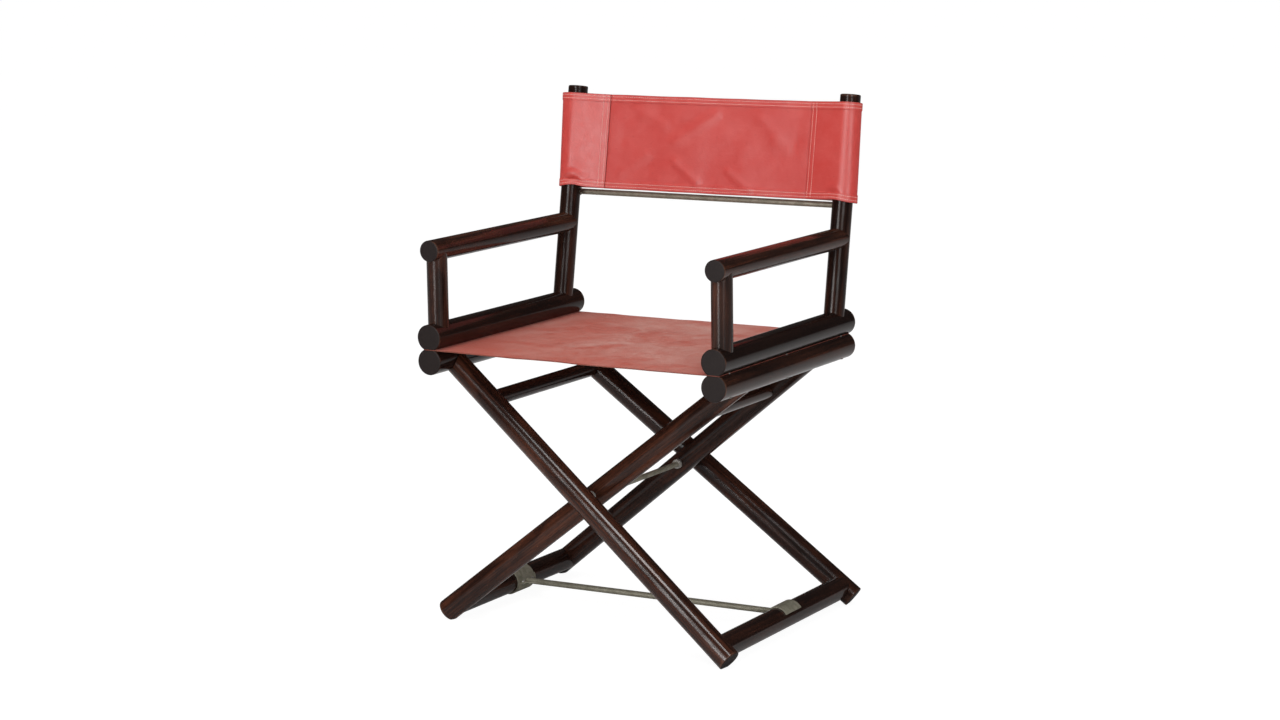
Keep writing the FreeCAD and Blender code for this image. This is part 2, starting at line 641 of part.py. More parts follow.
def funnel(root, toward):
    """A level plate that narrows from the brace plate's width to the rod, with hollow sides."""
    half = BRACE_PLATE_WIDTH / 2

    def at(reach, across):
        return root + Vector(toward * reach, across, -PLATE / 2)
    waist = at(FUNNEL_LENGTH * 0.35, half * 0.45)
    other_waist = at(FUNNEL_LENGTH * 0.35, -half * 0.45)
    edges = [
        Part.LineSegment(at(0, -half), at(0, half)).toShape(),
        Part.Arc(at(0, half), waist, at(FUNNEL_LENGTH, FUNNEL_TIP)).toShape(),
        Part.LineSegment(at(FUNNEL_LENGTH, FUNNEL_TIP), at(FUNNEL_LENGTH, -FUNNEL_TIP)).toShape(),
        Part.Arc(at(FUNNEL_LENGTH, -FUNNEL_TIP), other_waist, at(0, -half)).toShape(),
    ]
    return Part.Face(Part.Wire(edges)).extrude(Vector(0, 0, PLATE))


def brace_wrap():
    """Spring-steel clip round the inner frame's bottom stretcher, which it turns on."""
    plate = ring_sector(WRAP_CENTRE, PLATE_INNER, PLATE_OUTER, -200, 75, BRACE_PLATE_WIDTH)
    return plate.cut(group(brace_rivets()))


def brace_saddle():
    """Half-round saddle that drops over the outer frame's bottom stretcher, with its funnel."""
    shell = ring_sector(SADDLE_CENTRE, PLATE_INNER, PLATE_OUTER, SADDLE_START, SADDLE_END,
                        BRACE_PLATE_WIDTH)
    reach = math.sqrt((PLATE_INNER + PLATE / 2) ** 2 - SADDLE_RISE ** 2)
    tail = funnel(SADDLE_CENTRE + Vector(-reach, 0, SADDLE_RISE), -1)
    return shell.fuse(tail).removeSplitter()


def brace_rod():
    """Round rod with a curved foot that is riveted to the clip, and a funnel like the saddle's."""
    foot = ring_sector(WRAP_CENTRE, PLATE_OUTER, PLATE_OUTER + PLATE, -22, 22,
                       BRACE_PLATE_WIDTH)
    start = WRAP_CENTRE + X_AXIS * (PLATE_OUTER + 0.5)
    end = SADDLE_CENTRE + Vector(-PLATE_OUTER - 2.5, 0, SADDLE_RISE)
    bar = rod(start, end, BRACE_ROD_DIAMETER / 2)
    bar = bar.fuse(funnel(start + X_AXIS, 1))
    room = bar_y(WRAP_CENTRE.x, WRAP_CENTRE.z, BRACE_Y - 60, BRACE_Y + 60, PLATE_OUTER)
    bar = bar.cut(room).fuse(foot).removeSplitter()
    return bar.cut(brace_saddle()).cut(group(brace_rivets()))


def brace_rivets():
    rivets = []
    for across in (-RIVET_SPACING / 2, RIVET_SPACING / 2):
        base = WRAP_CENTRE + Vector(PLATE_INNER + 0.2, across, 0)
        shank = Part.makeCylinder(RIVET_RADIUS, 2 * PLATE - 0.2, base, X_AXIS)
        seat = WRAP_CENTRE + Vector(PLATE_OUTER + PLATE - 0.6, across, 0)
        head = Part.makeCone(2 * RIVET_RADIUS, RIVET_RADIUS, 2.2, seat, X_AXIS)
        rivets.append(shank.fuse(head).removeSplitter())
    return rivets


nodes["brace_clip"] = brace_wrap()
nodes["brace_saddle"] = brace_saddle()
nodes["brace_rod"] = brace_rod()
nodes["brace_rivets"] = group(brace_rivets())

# ---------------------------------------------------------------- reference point and files
# The origin is the middle of the chair's footprint, on the floor.
whole = Part.makeCompound(list(nodes.values())).BoundBox
SHIFT = Vector(0, -(whole.YMin + whole.YMax) / 2, 0)

for node, shape in nodes.items():
    placed = shape.translated(SHIFT)
    placed.exportStep(f"parts/{node}.step")
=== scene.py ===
import json
import math
import random

import bmesh
import bpy
import numpy as np
from bpy.props import FloatProperty, FloatVectorProperty, IntProperty, PointerProperty
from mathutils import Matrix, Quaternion, Vector, noise


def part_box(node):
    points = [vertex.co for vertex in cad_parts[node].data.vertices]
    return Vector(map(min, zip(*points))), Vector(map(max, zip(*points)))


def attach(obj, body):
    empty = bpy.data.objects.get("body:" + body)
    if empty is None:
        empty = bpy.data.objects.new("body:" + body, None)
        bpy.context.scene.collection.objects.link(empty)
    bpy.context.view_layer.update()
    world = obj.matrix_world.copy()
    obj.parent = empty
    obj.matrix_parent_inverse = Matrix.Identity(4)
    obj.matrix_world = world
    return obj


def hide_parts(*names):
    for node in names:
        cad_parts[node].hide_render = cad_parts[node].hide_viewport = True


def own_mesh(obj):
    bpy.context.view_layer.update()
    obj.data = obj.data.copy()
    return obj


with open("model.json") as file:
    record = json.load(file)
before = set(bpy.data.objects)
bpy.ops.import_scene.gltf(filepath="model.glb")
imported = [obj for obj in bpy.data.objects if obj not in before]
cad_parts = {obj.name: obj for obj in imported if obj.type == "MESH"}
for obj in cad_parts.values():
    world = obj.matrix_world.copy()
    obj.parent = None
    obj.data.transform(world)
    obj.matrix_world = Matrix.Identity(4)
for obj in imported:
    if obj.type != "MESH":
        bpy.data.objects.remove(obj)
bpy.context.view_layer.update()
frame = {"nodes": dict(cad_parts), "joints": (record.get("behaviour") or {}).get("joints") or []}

bl_info = {
    "name": "Director Chair",
    "version": (1, 0, 0),
    "blender": (4, 5, 0),
    "location": "View3D > Sidebar > Chair",
    "description": "Dresses a folding director chair of dark round bars and red leather",
    "category": "Add Mesh",
}

# ---------------------------------------------------------------- places, from the frame (metres)
JOINTS = {joint["name"]: joint for joint in frame["joints"]}
X_AXIS = Vector((1, 0, 0))


def box_middle(node):
    low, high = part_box(node)
    return (low + high) / 2


RAIL_X = box_middle("right_lower_rail").x
SEAT_HEIGHT = (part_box("left_lower_rail")[1].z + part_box("left_upper_rail")[0].z) / 2
SEAT_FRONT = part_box("seat_sling")[0].y
SEAT_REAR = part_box("seat_sling")[1].y
SLING_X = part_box("seat_sling")[1].x
SEAT_EDGE_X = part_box("right_seat_edge")[1].x
SPLIT_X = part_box("back_panel")[1].x

# the back's own frame: it leans with the posts, and heights run up along them from the rails
SPREADER_HEIGHT = 0.197
SPREADER_OFFSET = 0.025            # behind the posts' axes
BACK_SQUARE = -Vector(JOINTS["spreader_lift"]["axis"])
BACK_UP = X_AXIS.cross(BACK_SQUARE)
BACK_FOOT = (Vector(JOINTS["spreader_lift"]["pos_m"])
             - BACK_SQUARE * SPREADER_OFFSET - BACK_UP * SPREADER_HEIGHT)
BACK_FOOT.x = 0
BACK_BOTTOM = 0.203
BACK_TOP = 0.365
SLEEVE_RADIUS = 0.0185


# ---------------------------------------------------------------- sizes and colours to change
class ChairLeather(bpy.types.PropertyGroup):
    thickness: FloatProperty(
        name="Thickness", description="Thickness of the leather",
        default=0.0019, subtype="DISTANCE", unit="LENGTH")
    hem_width: FloatProperty(
        name="Hem Width", description="Width of the turned hem along the back's long edges",
        default=0.013, subtype="DISTANCE", unit="LENGTH")
    hem_rise: FloatProperty(
        name="Hem Rise", description="How far the hem stands above the leather",
        default=0.0009, subtype="DISTANCE", unit="LENGTH")
    flap_reach: FloatProperty(
        name="Flap Reach", description="From a post's axis to the edge of the sleeve's flap",
        default=0.0688, subtype="DISTANCE", unit="LENGTH")
    back_colour: FloatVectorProperty(
        name="Back Colour", description="Red of the back's leather",
        default=(0.56, 0.052, 0.044), subtype="COLOR", size=3)
    # Also the colour of the painted sheen on the front of the left sleeve.
    back_faded_and_sheen: FloatVectorProperty(
        name="Faded Back Colour", description="The back's red where it is rubbed and faded",
        default=(0.64, 0.095, 0.080), subtype="COLOR", size=3)
    seat_colour: FloatVectorProperty(
        name="Seat Colour", description="Red of the seat's leather",
        default=(0.50, 0.085, 0.052), subtype="COLOR", size=3)
    seat_faded: FloatVectorProperty(
        name="Faded Seat Colour", description="The seat's red where it is worn by use",
        default=(0.60, 0.30, 0.25), subtype="COLOR", size=3)


class ChairStitching(bpy.types.PropertyGroup):
    length: FloatProperty(
        name="Stitch Length", description="Length of one stitch",
        default=0.0028, subtype="DISTANCE", unit="LENGTH")
    gap: FloatProperty(
        name="Gap", description="Space between two stitches in a row",
        default=0.0009, subtype="DISTANCE", unit="LENGTH")
    thread: FloatProperty(
        name="Thread Width", description="Width of the thread",
        default=0.001, subtype="DISTANCE", unit="LENGTH")
    colour: FloatVectorProperty(
        name="Thread Colour", description="Colour of the thread",
        default=(0.86, 0.50, 0.45), subtype="COLOR", size=3)
    seed: IntProperty(
        name="Seed", description="Seed of the small differences between stitches", default=7)


class ChairWood(bpy.types.PropertyGroup):
    dark: FloatVectorProperty(
        name="Dark Grain", description="Near black of the stained wood",
        default=(0.0085, 0.0042, 0.0034), subtype="COLOR", size=3)
    warm: FloatVectorProperty(
        name="Warm Grain", description="Red brown that shows through the stain",
        default=(0.086, 0.028, 0.015), subtype="COLOR", size=3)
    end_grain: FloatVectorProperty(
        name="End Grain", description="Grey black of the sawn ends",
        default=(0.020, 0.0145, 0.0140), subtype="COLOR", size=3)
    seed: IntProperty(
        name="Seed", description="Seed of the grain's place on each bar", default=3)


class ChairMetal(bpy.types.PropertyGroup):
    bronzed: FloatVectorProperty(
        name="Bronzed Steel", description="Olive grey of the rods and plates",
        default=(0.24, 0.225, 0.175), subtype="COLOR", size=3)
    plain: FloatVectorProperty(
        name="Plain Steel", description="Grey of the screws and pins",
        default=(0.33, 0.32, 0.30), subtype="COLOR", size=3)
    brass: FloatVectorProperty(
        name="Brass", description="Colour of the bushes",
        default=(0.45, 0.31, 0.12), subtype="COLOR", size=3)
    head_radius: FloatProperty(
        name="Screw Head Radius", description="Radius of a clamping screw's head",
        default=0.0043, subtype="DISTANCE", unit="LENGTH")
    slot_width: FloatProperty(
        name="Slot Width", description="Width of the slot in a screw's head",
        default=0.0011, subtype="DISTANCE", unit="LENGTH")
    rivet_radius: FloatProperty(
        name="Rivet Radius", description="Radius of a rivet's domed head",
        default=0.0042, subtype="DISTANCE", unit="LENGTH")


class ChairStage(bpy.types.PropertyGroup):
    lens: FloatProperty(
        name="Lens", description="Focal length of the camera, in millimetres", default=77.64)
    roll: FloatProperty(
        name="Roll", description="Turn of the camera about its own line of sight",
        default=math.radians(-0.78), subtype="ANGLE", unit="ROTATION")
    surround: FloatProperty(
        name="Surround", description="Brightness of the plain surround on matt surfaces",
        default=0.4)
    reflected: FloatProperty(
        name="Reflected Surround", description="Brightness of the surround in reflections",
        default=0.045)


# ---------------------------------------------------------------- helpers for shader trees
def add(tree, kind, inputs=(), **settings):
    """Add a node, set its properties, and give its inputs a value or a link each."""
    made = tree.nodes.new(kind)
    for key, value in settings.items():
        setattr(made, key, value)
    for key, value in dict(inputs).items():
        socket = made.inputs[key]
        if isinstance(value, bpy.types.NodeSocket):
            tree.links.new(value, socket)
        else:
            socket.default_value = value
    return made


def principled(name, **constants):
    """A new material and its Principled shader, with constants set on the shader's sockets."""
    material = bpy.data.materials.new(name)
    material.use_nodes = True
    tree = material.node_tree
    shader = tree.nodes["Principled BSDF"]
    for key, value in constants.items():
        shader.inputs[key.replace("_", " ").title().replace("Ior", "IOR")].default_value = value
    return material, tree, shader


def stretched(tree, vector, scale, offset=(0, 0, 0)):
    return add(tree, "ShaderNodeMapping",
               {"Vector": vector, "Scale": scale, "Location": offset}).outputs["Vector"]


def cloud(tree, vector, scale, detail=4.0, roughness=0.55, distortion=0.0):
    return add(tree, "ShaderNodeTexNoise",
               {"Vector": vector, "Scale": scale, "Detail": detail, "Roughness": roughness,
                "Distortion": distortion}).outputs["Fac"]


def span(tree, value, low, high, to_low=0.0, to_high=1.0):
    """Map a value from low..high to to_low..to_high, smoothly and with both ends held."""
    return add(tree, "ShaderNodeMapRange",
               {"Value": value, "From Min": low, "From Max": high, "To Min": to_low,
                "To Max": to_high}, interpolation_type="SMOOTHSTEP").outputs["Result"]


def maths(tree, operation, one, two):
    return add(tree, "ShaderNodeMath", {0: one, 1: two}, operation=operation).outputs[0]


def times(tree, one, two):
    return maths(tree, "MULTIPLY", one, two)


def plus(tree, one, two):
    return maths(tree, "ADD", one, two)


def vector_of(tree, x, y, z):
    return add(tree, "ShaderNodeCombineXYZ", {"X": x, "Y": y, "Z": z}).outputs[0]


def place_on_piece(tree):
    return add(tree, "ShaderNodeTexCoord").outputs["Object"]


def stored(tree, name, output="Fac"):
    """A value that the mesh stores for each of its points."""
    return add(tree, "ShaderNodeAttribute", attribute_name=name).outputs[output]


def mixed(tree, share, one, two):
    """A mix of two colours."""
    node = add(tree, "ShaderNodeMix", {0: share}, data_type="RGBA")
    for socket, value in ((node.inputs[6], one), (node.inputs[7], two)):
        if isinstance(value, bpy.types.NodeSocket):
            tree.links.new(value, socket)
        else:
            socket.default_value = (*value, 1)
    return node.outputs[2]


def bumped(tree, height, strength, distance, below=None):
    inputs = {"Height": height, "Strength": strength, "Distance": distance}
    if below is not None:
        inputs["Normal"] = below
    return add(tree, "ShaderNodeBump", inputs).outputs["Normal"]


# ---------------------------------------------------------------- materials
PORE_COLOUR = (0.004, 0.003, 0.003)
RUBBED_COLOUR = (0.10, 0.045, 0.028)
NICK_COLOUR = (0.16, 0.06, 0.035)
RING_COLOUR = (0.030, 0.021, 0.019)
HEART = (0.006, 0.011, 0)          # middle of the growth rings, off the bar's own middle
CAP_DEPTH = (0.0003, 0.0013)       # where the sawn end's finish gives way to the bar's side
WOOD_SHINE = (0.20, 0.04)          # on the sides and on the sawn ends
SOIL_COLOUR = (0.74, 0.30, 0.26)


def grain_cloud(tree, grain, across, along, *shape):
    """Noise drawn out along the grain."""
    return cloud(tree, stretched(tree, grain, (across, across, along)), 1.0, *shape)


def side_colour(tree, wood, grain, patches, streaks, pores, near_end, warmth):
    """Dark stain with a warm figure, dark pores, rubbed edges and pale nicks."""
    figure = grain_cloud(tree, grain, 95, 3.2, 6, 0.62, 0.6)
    nicks = grain_cloud(tree, grain, 330, 150, 3, 0.7)
    lit = times(tree, span(tree, figure, 0.36, 0.70, 0.12), span(tree, patches, 0.32, 0.64, 0.25))
    fine = times(tree, span(tree, streaks, 0.45, 0.72), 0.35)
    share = plus(tree, times(tree, lit, warmth), times(tree, fine, warmth))
    colour = mixed(tree, share, wood.dark, wood.warm)
    colour = mixed(tree, span(tree, pores, 0.60, 0.70, 0.0, 0.8), colour, PORE_COLOUR)
    rubbed = times(tree, span(tree, near_end, 0.0016, 0.0055, 1.0, 0.0),
                   span(tree, patches, 0.42, 0.62, 0.1, 0.75))
    colour = mixed(tree, rubbed, colour, RUBBED_COLOUR)
    nicked = times(tree, span(tree, nicks, 0.69, 0.74, 0.0, 0.8), warmth)
    return mixed(tree, nicked, colour, NICK_COLOUR)


def end_colour(tree, wood, grain):
    """Sawn end grain, with faint growth rings."""
    rings = add(tree, "ShaderNodeTexWave",
                {"Vector": stretched(tree, grain, (1, 1, 0), HEART), "Scale": 150.0,
                 "Distortion": 2.2, "Detail": 2.0, "Detail Scale": 1.4},
                wave_type="RINGS", rings_direction="Z").outputs["Fac"]
    speck = grain_cloud(tree, grain, 900, 900, 3, 0.6)
    return mixed(tree, times(tree, rings, span(tree, speck, 0.35, 0.75)), wood.end_grain,
                 RING_COLOUR)


def dark_wood(wood):
    """Stained and lacquered wood. Its grain follows the bar coordinates of each piece."""
    material, tree, shader = principled("dark_stained_wood")
    grain = stored(tree, "grain", "Vector")
    ends = add(tree, "ShaderNodeSeparateXYZ", {0: stored(tree, "ends", "Vector")})
    near_end = maths(tree, "MINIMUM", ends.outputs["X"], ends.outputs["Y"])
    patches = grain_cloud(tree, grain, 30, 9, 3, 0.5, 0.8)
    streaks = grain_cloud(tree, grain, 420, 7, 5, 0.6)
    pores = grain_cloud(tree, grain, 1500, 60, 2, 0.5)
    smear = grain_cloud(tree, grain, 60, 14, 4, 0.6)

    cap = span(tree, near_end, *CAP_DEPTH, 1.0, 0.0)
    sides = side_colour(tree, wood, grain, patches, streaks, pores, near_end, ends.outputs["Z"])
    tree.links.new(mixed(tree, cap, sides, end_colour(tree, wood, grain)),
                   shader.inputs["Base Color"])
    rough = plus(tree, span(tree, smear, 0.3, 0.7, 0.13, 0.20), times(tree, cap, 0.35))
    tree.links.new(rough, shader.inputs["Roughness"])
    tree.links.new(span(tree, cap, 0.0, 1.0, *WOOD_SHINE), shader.inputs["Specular IOR Level"])
    normal = bumped(tree, pores, 0.10, 0.00004)
    normal = bumped(tree, streaks, 0.05, 0.00004, normal)
    tree.links.new(normal, shader.inputs["Normal"])
    return material


def leather(name, fresh, faded, edge_colour, grain_depth, **constants):
    """Aged leather: a pebbled grain, cloudy fading, fine creases and darker edges. How far it
    fades is stored on the mesh; that value holds real fading by use, a painted sheen on the back's
    left sleeve and painted shade at the seat's left front tip.
    """
    material, tree, shader = principled(name, **constants)
    place = place_on_piece(tree)
    wear_and_painted_light = stored(tree, "wear_and_painted_light")

    broad = cloud(tree, place, 11, 4, 0.6, 0.8)
    blotch = cloud(tree, place, 46, 5, 0.65, 0.5)
    scuff = cloud(tree, stretched(tree, place, (34, 120, 120)), 1.0, 5, 0.7, 1.2)
    fade_and_painted_light = plus(tree, times(tree, span(tree, broad, 0.3, 0.7), 0.45),
                times(tree, span(tree, blotch, 0.3, 0.72), 0.3))
    fade_and_painted_light = times(tree, plus(tree, fade_and_painted_light, span(tree, scuff, 0.5, 0.75, 0, 0.3)),
                 plus(tree, 0.35, wear_and_painted_light))
    colour = mixed(tree, fade_and_painted_light, fresh, faded)
    dirt = cloud(tree, place, 150, 3, 0.6)
    colour = mixed(tree, span(tree, dirt, 0.62, 0.8, 0.0, 0.35), colour,
                   tuple(0.62 * part for part in fresh))
    # Darker red within about 1.6 mm of a free edge.
    colour = mixed(tree, span(tree, stored(tree, "edge"), 0.0002, 0.0016, 0.85, 0.0), colour,
                   edge_colour)
    tree.links.new(colour, shader.inputs["Base Color"])

    rough = span(tree, blotch, 0.25, 0.75, 0.34, 0.48)
    tree.links.new(plus(tree, rough, times(tree, wear_and_painted_light, 0.06)), shader.inputs["Roughness"])
    pebble = add(tree, "ShaderNodeTexVoronoi", {"Vector": place, "Scale": 620.0,
                                                "Randomness": 0.95, "Smoothness": 0.6},
                 feature="SMOOTH_F1").outputs["Distance"]
    crease = cloud(tree, place, 170, 4, 0.6, 1.5)
    normal = bumped(tree, pebble, grain_depth, 0.00035)
    normal = bumped(tree, crease, 0.6 * grain_depth, 0.0006, normal)
    normal = bumped(tree, blotch, 0.25, 0.0012, normal)
    tree.links.new(normal, shader.inputs["Normal"])
    return material


def suede(name, colour):
    """The rough flesh side of the leather."""
    material, tree, shader = principled(name, roughness=0.86, specular_ior_level=0.25)
    place = place_on_piece(tree)
    nap = cloud(tree, place, 700, 4, 0.7)
    broad = cloud(tree, place, 16, 4, 0.6)
    shade = mixed(tree, span(tree, broad, 0.3, 0.7), colour, tuple(0.66 * part for part in colour))
    shade = mixed(tree, span(tree, nap, 0.35, 0.7, 0.0, 0.5), shade,
                  tuple(min(1.0, 1.4 * part) for part in colour))
    tree.links.new(shade, shader.inputs["Base Color"])
    tree.links.new(bumped(tree, nap, 0.6, 0.0005), shader.inputs["Normal"])
    return material


def thread(stitching):
    """Waxed thread, soiled in places."""
    material, tree, shader = principled("waxed_thread", roughness=0.6)
    place = place_on_piece(tree)
    strand = cloud(tree, place, 1800, 2, 0.5)
    soil = cloud(tree, place, 60, 3, 0.6)
    colour = mixed(tree, span(tree, soil, 0.35, 0.7, 0.0, 0.55), stitching.colour, SOIL_COLOUR)
    tree.links.new(colour, shader.inputs["Base Color"])
    tree.links.new(bumped(tree, strand, 0.5, 0.0002), shader.inputs["Normal"])
    return material


def metal(name, colour, dull, roughness, tarnish):
    """Metal with a mottled surface film: patches of dull colour, and varied roughness."""
    material, tree, shader = principled(name, metallic=0.2, specular_ior_level=0.15)
    place = place_on_piece(tree)
    film = cloud(tree, place, 70, 5, 0.65, 0.6)
    spot = cloud(tree, place, 420, 4, 0.6)
    share = times(tree, span(tree, film, 0.35, 0.66), tarnish)
    shade = mixed(tree, share, colour, dull)
    shade = mixed(tree, span(tree, spot, 0.58, 0.7, 0.0, 0.35), shade, dull)
    tree.links.new(shade, shader.inputs["Base Color"])
    tree.links.new(span(tree, film, 0.3, 0.7, roughness - 0.06, roughness + 0.12),
                   shader.inputs["Roughness"])
    tree.links.new(bumped(tree, spot, 0.12, 0.0002), shader.inputs["Normal"])
    return material


# ---------------------------------------------------------------- helpers for meshes
def give(mesh, name, kind, values):
    """Store a value for each point of a mesh."""
    field = "vector" if kind == "FLOAT_VECTOR" else "value"
    layer = mesh.attributes.new(name, kind, "POINT")
    layer.data.foreach_set(field, np.asarray(values, np.float32).ravel())


def place_piece(name, mesh, body, replaced=(), material=None):
    """Put a finished mesh in the scene as a piece that rides on a body."""
    piece = bpy.data.objects.new(name, mesh)
    bpy.context.scene.collection.objects.link(piece)
    if material:
        mesh.materials.append(material)
    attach(piece, body)
    if replaced:
        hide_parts(*replaced)
    return piece


def spaced(stops, step):
    """Places that pass through every stop, in order, at most a step apart."""
    places = [stops[0]]
    for low, high in zip(stops, stops[1:]):
        count = max(1, math.ceil(abs(high - low) / step - 1e-6))
        places += [low + (high - low) * part / count for part in range(1, count + 1)]
    return np.array(places)


def smooth(value, low, high):
    """0 at low, 1 at high and smooth between them. High may be the smaller one."""
    share = np.clip((value - low) / (high - low), 0, 1)
    return share * share * (3 - 2 * share)


def hump(value, centre, width):
    return np.exp(-((value - centre) / width) ** 2)


def wander(points, scale, seed):
    """Gentle noise from -1 to 1 at each point of an array."""
    flat = points.reshape(-1, points.shape[-1])
    found = [noise.noise(Vector((*row, 0)[:3]) * scale + Vector((seed, 2 * seed, 3 * seed)))
             for row in flat]
    return np.array(found).reshape(points.shape[:-1])


def grid_normals(points):
    """Unit normals of a grid of points: rows turned onto columns."""
    across = np.gradient(points, axis=0)
    along = np.gradient(points, axis=1)
    normals = np.cross(along, across)
    return normals / np.linalg.norm(normals, axis=2, keepdims=True)


def rim_of(columns, rows):
    """The corners of a grid along its rim, in order."""
    rim = [(column, 0) for column in range(columns)]
    rim += [(columns - 1, row) for row in range(1, rows)]
    rim += [(column, rows - 1) for column in range(columns - 2, -1, -1)]
    return rim + [(0, row) for row in range(rows - 2, 0, -1)]


def sheet_faces(start, columns, rows):
    """Faces of a closed sheet of two grids of points, with 1 for each on the inner grid."""
    def at(column, row, inner):
        return start + inner * columns * rows + column * rows + row

    faces, inner_ones = [], []
    for column in range(columns - 1):
        for row in range(rows - 1):
            ring = [(column, row), (column, row + 1), (column + 1, row + 1), (column + 1, row)]
            faces.append([at(*corner, 0) for corner in ring])
            faces.append([at(*corner, 1) for corner in reversed(ring)])
            inner_ones += [0, 1]
    rim = rim_of(columns, rows)
    for one, two in zip(rim, rim[1:] + rim[:1]):
        faces.append([at(*one, 0), at(*two, 0), at(*two, 1), at(*one, 1)])
        inner_ones.append(0)
    return faces, inner_ones


def closed_sheet(name, outer, inner, spans, layers, materials):
    """A closed sheet between two grids of points, over some spans of columns.

    The two faces keep the normals of the whole grids, so that a sheet cut into pieces
    shows no line at the cut. layers are values for each point, given as grids.
    """
    sides = ((outer, grid_normals(outer)), (inner, -grid_normals(inner)))
    points, normals, faces, inner_ones = [], [], [], []
    values = {key: [] for key in layers}
    for first, last in spans:
        made, kinds = sheet_faces(len(points), last - first + 1, outer.shape[1])
        faces += made
        inner_ones += kinds
        for grid, facing in sides:
            points += grid[first:last + 1].reshape(-1, 3).tolist()
            normals += facing[first:last + 1].reshape(-1, 3).tolist()
            for key, layer in layers.items():
                values[key] += layer[first:last + 1].ravel().tolist()
    mesh = bpy.data.meshes.new(name)
    mesh.from_pydata(points, [], faces)
    for material in materials:
        mesh.materials.append(material)
    mesh.polygons.foreach_set("material_index",
                              [min(kind, len(materials) - 1) for kind in inner_ones])
    for key in layers:
        give(mesh, key, "FLOAT", values[key])
    mesh.polygons.foreach_set("use_smooth", [True] * len(faces))
    mesh.normals_split_custom_set([normals[loop.vertex_index] for loop in mesh.loops])
    mesh.validate()
    return mesh


def rounded(distance, reach=0.0011, least=0.22):
    """Share of the full thickness near a free edge, so that the edge is round."""
    share = np.clip(distance / reach, 0, 1)
    return least + (1 - least) * np.sqrt(1 - (1 - share) ** 2)


# ---------------------------------------------------------------- wooden bars
LEG_FRAMES = {
    "outer_frame": ("outer_front_leg", "outer_rear_leg", "outer_bottom_stretcher",
                    "outer_top_stretcher"),
    "inner_frame": ("inner_front_leg", "inner_rear_leg", "inner_bottom_stretcher",
                    "inner_top_stretcher"),
}
WELD = 1e-6                        # points closer than this are merged
SIDE_BARS = ("lower_rail", "upper_rail", "arm", "front_post", "back_post", "rail_plug")
# how much of the warm figure shows on each bar
WARMTH = {
    "inner_front_leg": 1.1, "inner_rear_leg": 0.7, "outer_front_leg": 1.1, "outer_rear_leg": 0.7,
    "left_arm": 0.7, "right_arm": 0.6, "left_front_post": 0.9, "right_front_post": 1.0,
    "left_lower_rail": 0.3, "right_lower_rail": 0.5, "left_upper_rail": 0.3,
    "right_upper_rail": 0.1,
}
PLAIN_WARMTH = 0.4


def bar_axis(points, areas):
    """Middle and direction of a bar, from the centres and areas of its faces."""
    middle = np.average(points, axis=0, weights=areas)
    spread = (points - middle).T @ ((points - middle) * areas[:, None])
    direction = np.linalg.eigh(spread)[1][:, -1]
    return middle, direction


def welded_copy(node):
    """A copy of a node's mesh with its points merged and its shading kept."""
    mesh = frame["nodes"][node].data.copy()
    mesh.name = node + "_wood"
    shading = [tuple(corner.vector) for corner in mesh.corner_normals]
    work = bmesh.new()
    work.from_mesh(mesh)
    bmesh.ops.remove_doubles(work, verts=work.verts, dist=WELD)
    work.to_mesh(mesh)
    work.free()
    if len(mesh.loops) == len(shading):
        mesh.normals_split_custom_set(shading)
    mesh.materials.clear()
    return mesh


def wooden_bar(node, body, material, chance):
    """A welded copy of a bar, with coordinates along its grain."""
    source = frame["nodes"][node].data
    middle, direction = bar_axis(np.array([face.center for face in source.polygons]),
                                 np.array([face.area for face in source.polygons]))
    mesh = welded_copy(node)
    points = np.array([vertex.co for vertex in mesh.vertices]) - middle
    along = points @ direction
    side = np.cross(direction, (0, 0, 1) if abs(direction[2]) < 0.9 else (1, 0, 0))
    side /= np.linalg.norm(side)
    other = np.cross(direction, side)
    shift = chance.uniform(-5, 5)
    grain = np.stack([points @ side + shift, points @ other + shift / 3, along + shift / 7], 1)
    warmth = np.full(len(along), WARMTH.get(node, PLAIN_WARMTH))
    ends = np.stack([along - along.min(), along.max() - along, warmth], 1)
    give(mesh, "grain", "FLOAT_VECTOR", grain)
    give(mesh, "ends", "FLOAT_VECTOR", ends)
    return place_piece(node + "_bar", mesh, body, [node], material)


def make_leg_frames(chair):
    material = dark_wood(chair.wood)
    chance = random.Random(chair.wood.seed)
    for body, bars in LEG_FRAMES.items():
        for node in bars:
            wooden_bar(node, body, material, chance)


def make_side_frames(chair):
    material = bpy.data.materials["dark_stained_wood"]
    chance = random.Random(chair.wood.seed + 1)
    for side in ("left", "right"):
        for bar in SIDE_BARS:
            wooden_bar(f"{side}_{bar}", f"{side}_side", material, chance)


# ---------------------------------------------------------------- seat
SEAT_STEP = 0.006
FREE_EDGE = (0.0, 0.0003, 0.0008, 0.0016)      # rows that round a free edge
SAG_SHARE = 0.2                   # of the solid's sag, where nobody sits on the leather
LIP = 0.0003                      # how far the front edge turns down
FRONT_REACH = 0.03                # of the front edge's lip
SEAT_RIPPLES = ((13, 1, 0.0011), (30, 2, 0.0004))     # scale, seed and height of each
RAIL_CLEARANCE = 0.07             # share of the thickness taken off between the rails
SEAT_EDGE_COLOUR = (0.20, 0.045, 0.028)
SEAT_UNDERSIDE = (0.27, 0.085, 0.055)


def seat_wear_and_painted_shade(x, y, places):
    """Leather most worn right of the middle, where it is pale. At the left front tip the value is
    taken down, which paints shade there.
    """
    wear_and_painted_light = 0.35 + 0.75 * hump(x, 0.11, 0.22) * smooth(y, SEAT_FRONT - 0.02, SEAT_FRONT + 0.2)
    # A gentle noise varies the fading; the term at the left front tip keeps that tip darker red, a
    # painted shade.
    wear_and_painted_light += 0.25 * wander(places, 9, 5) - 0.3 * hump(x, -0.22, 0.09) * hump(y, SEAT_FRONT, 0.16)
    return np.clip(wear_and_painted_light, 0, 1)


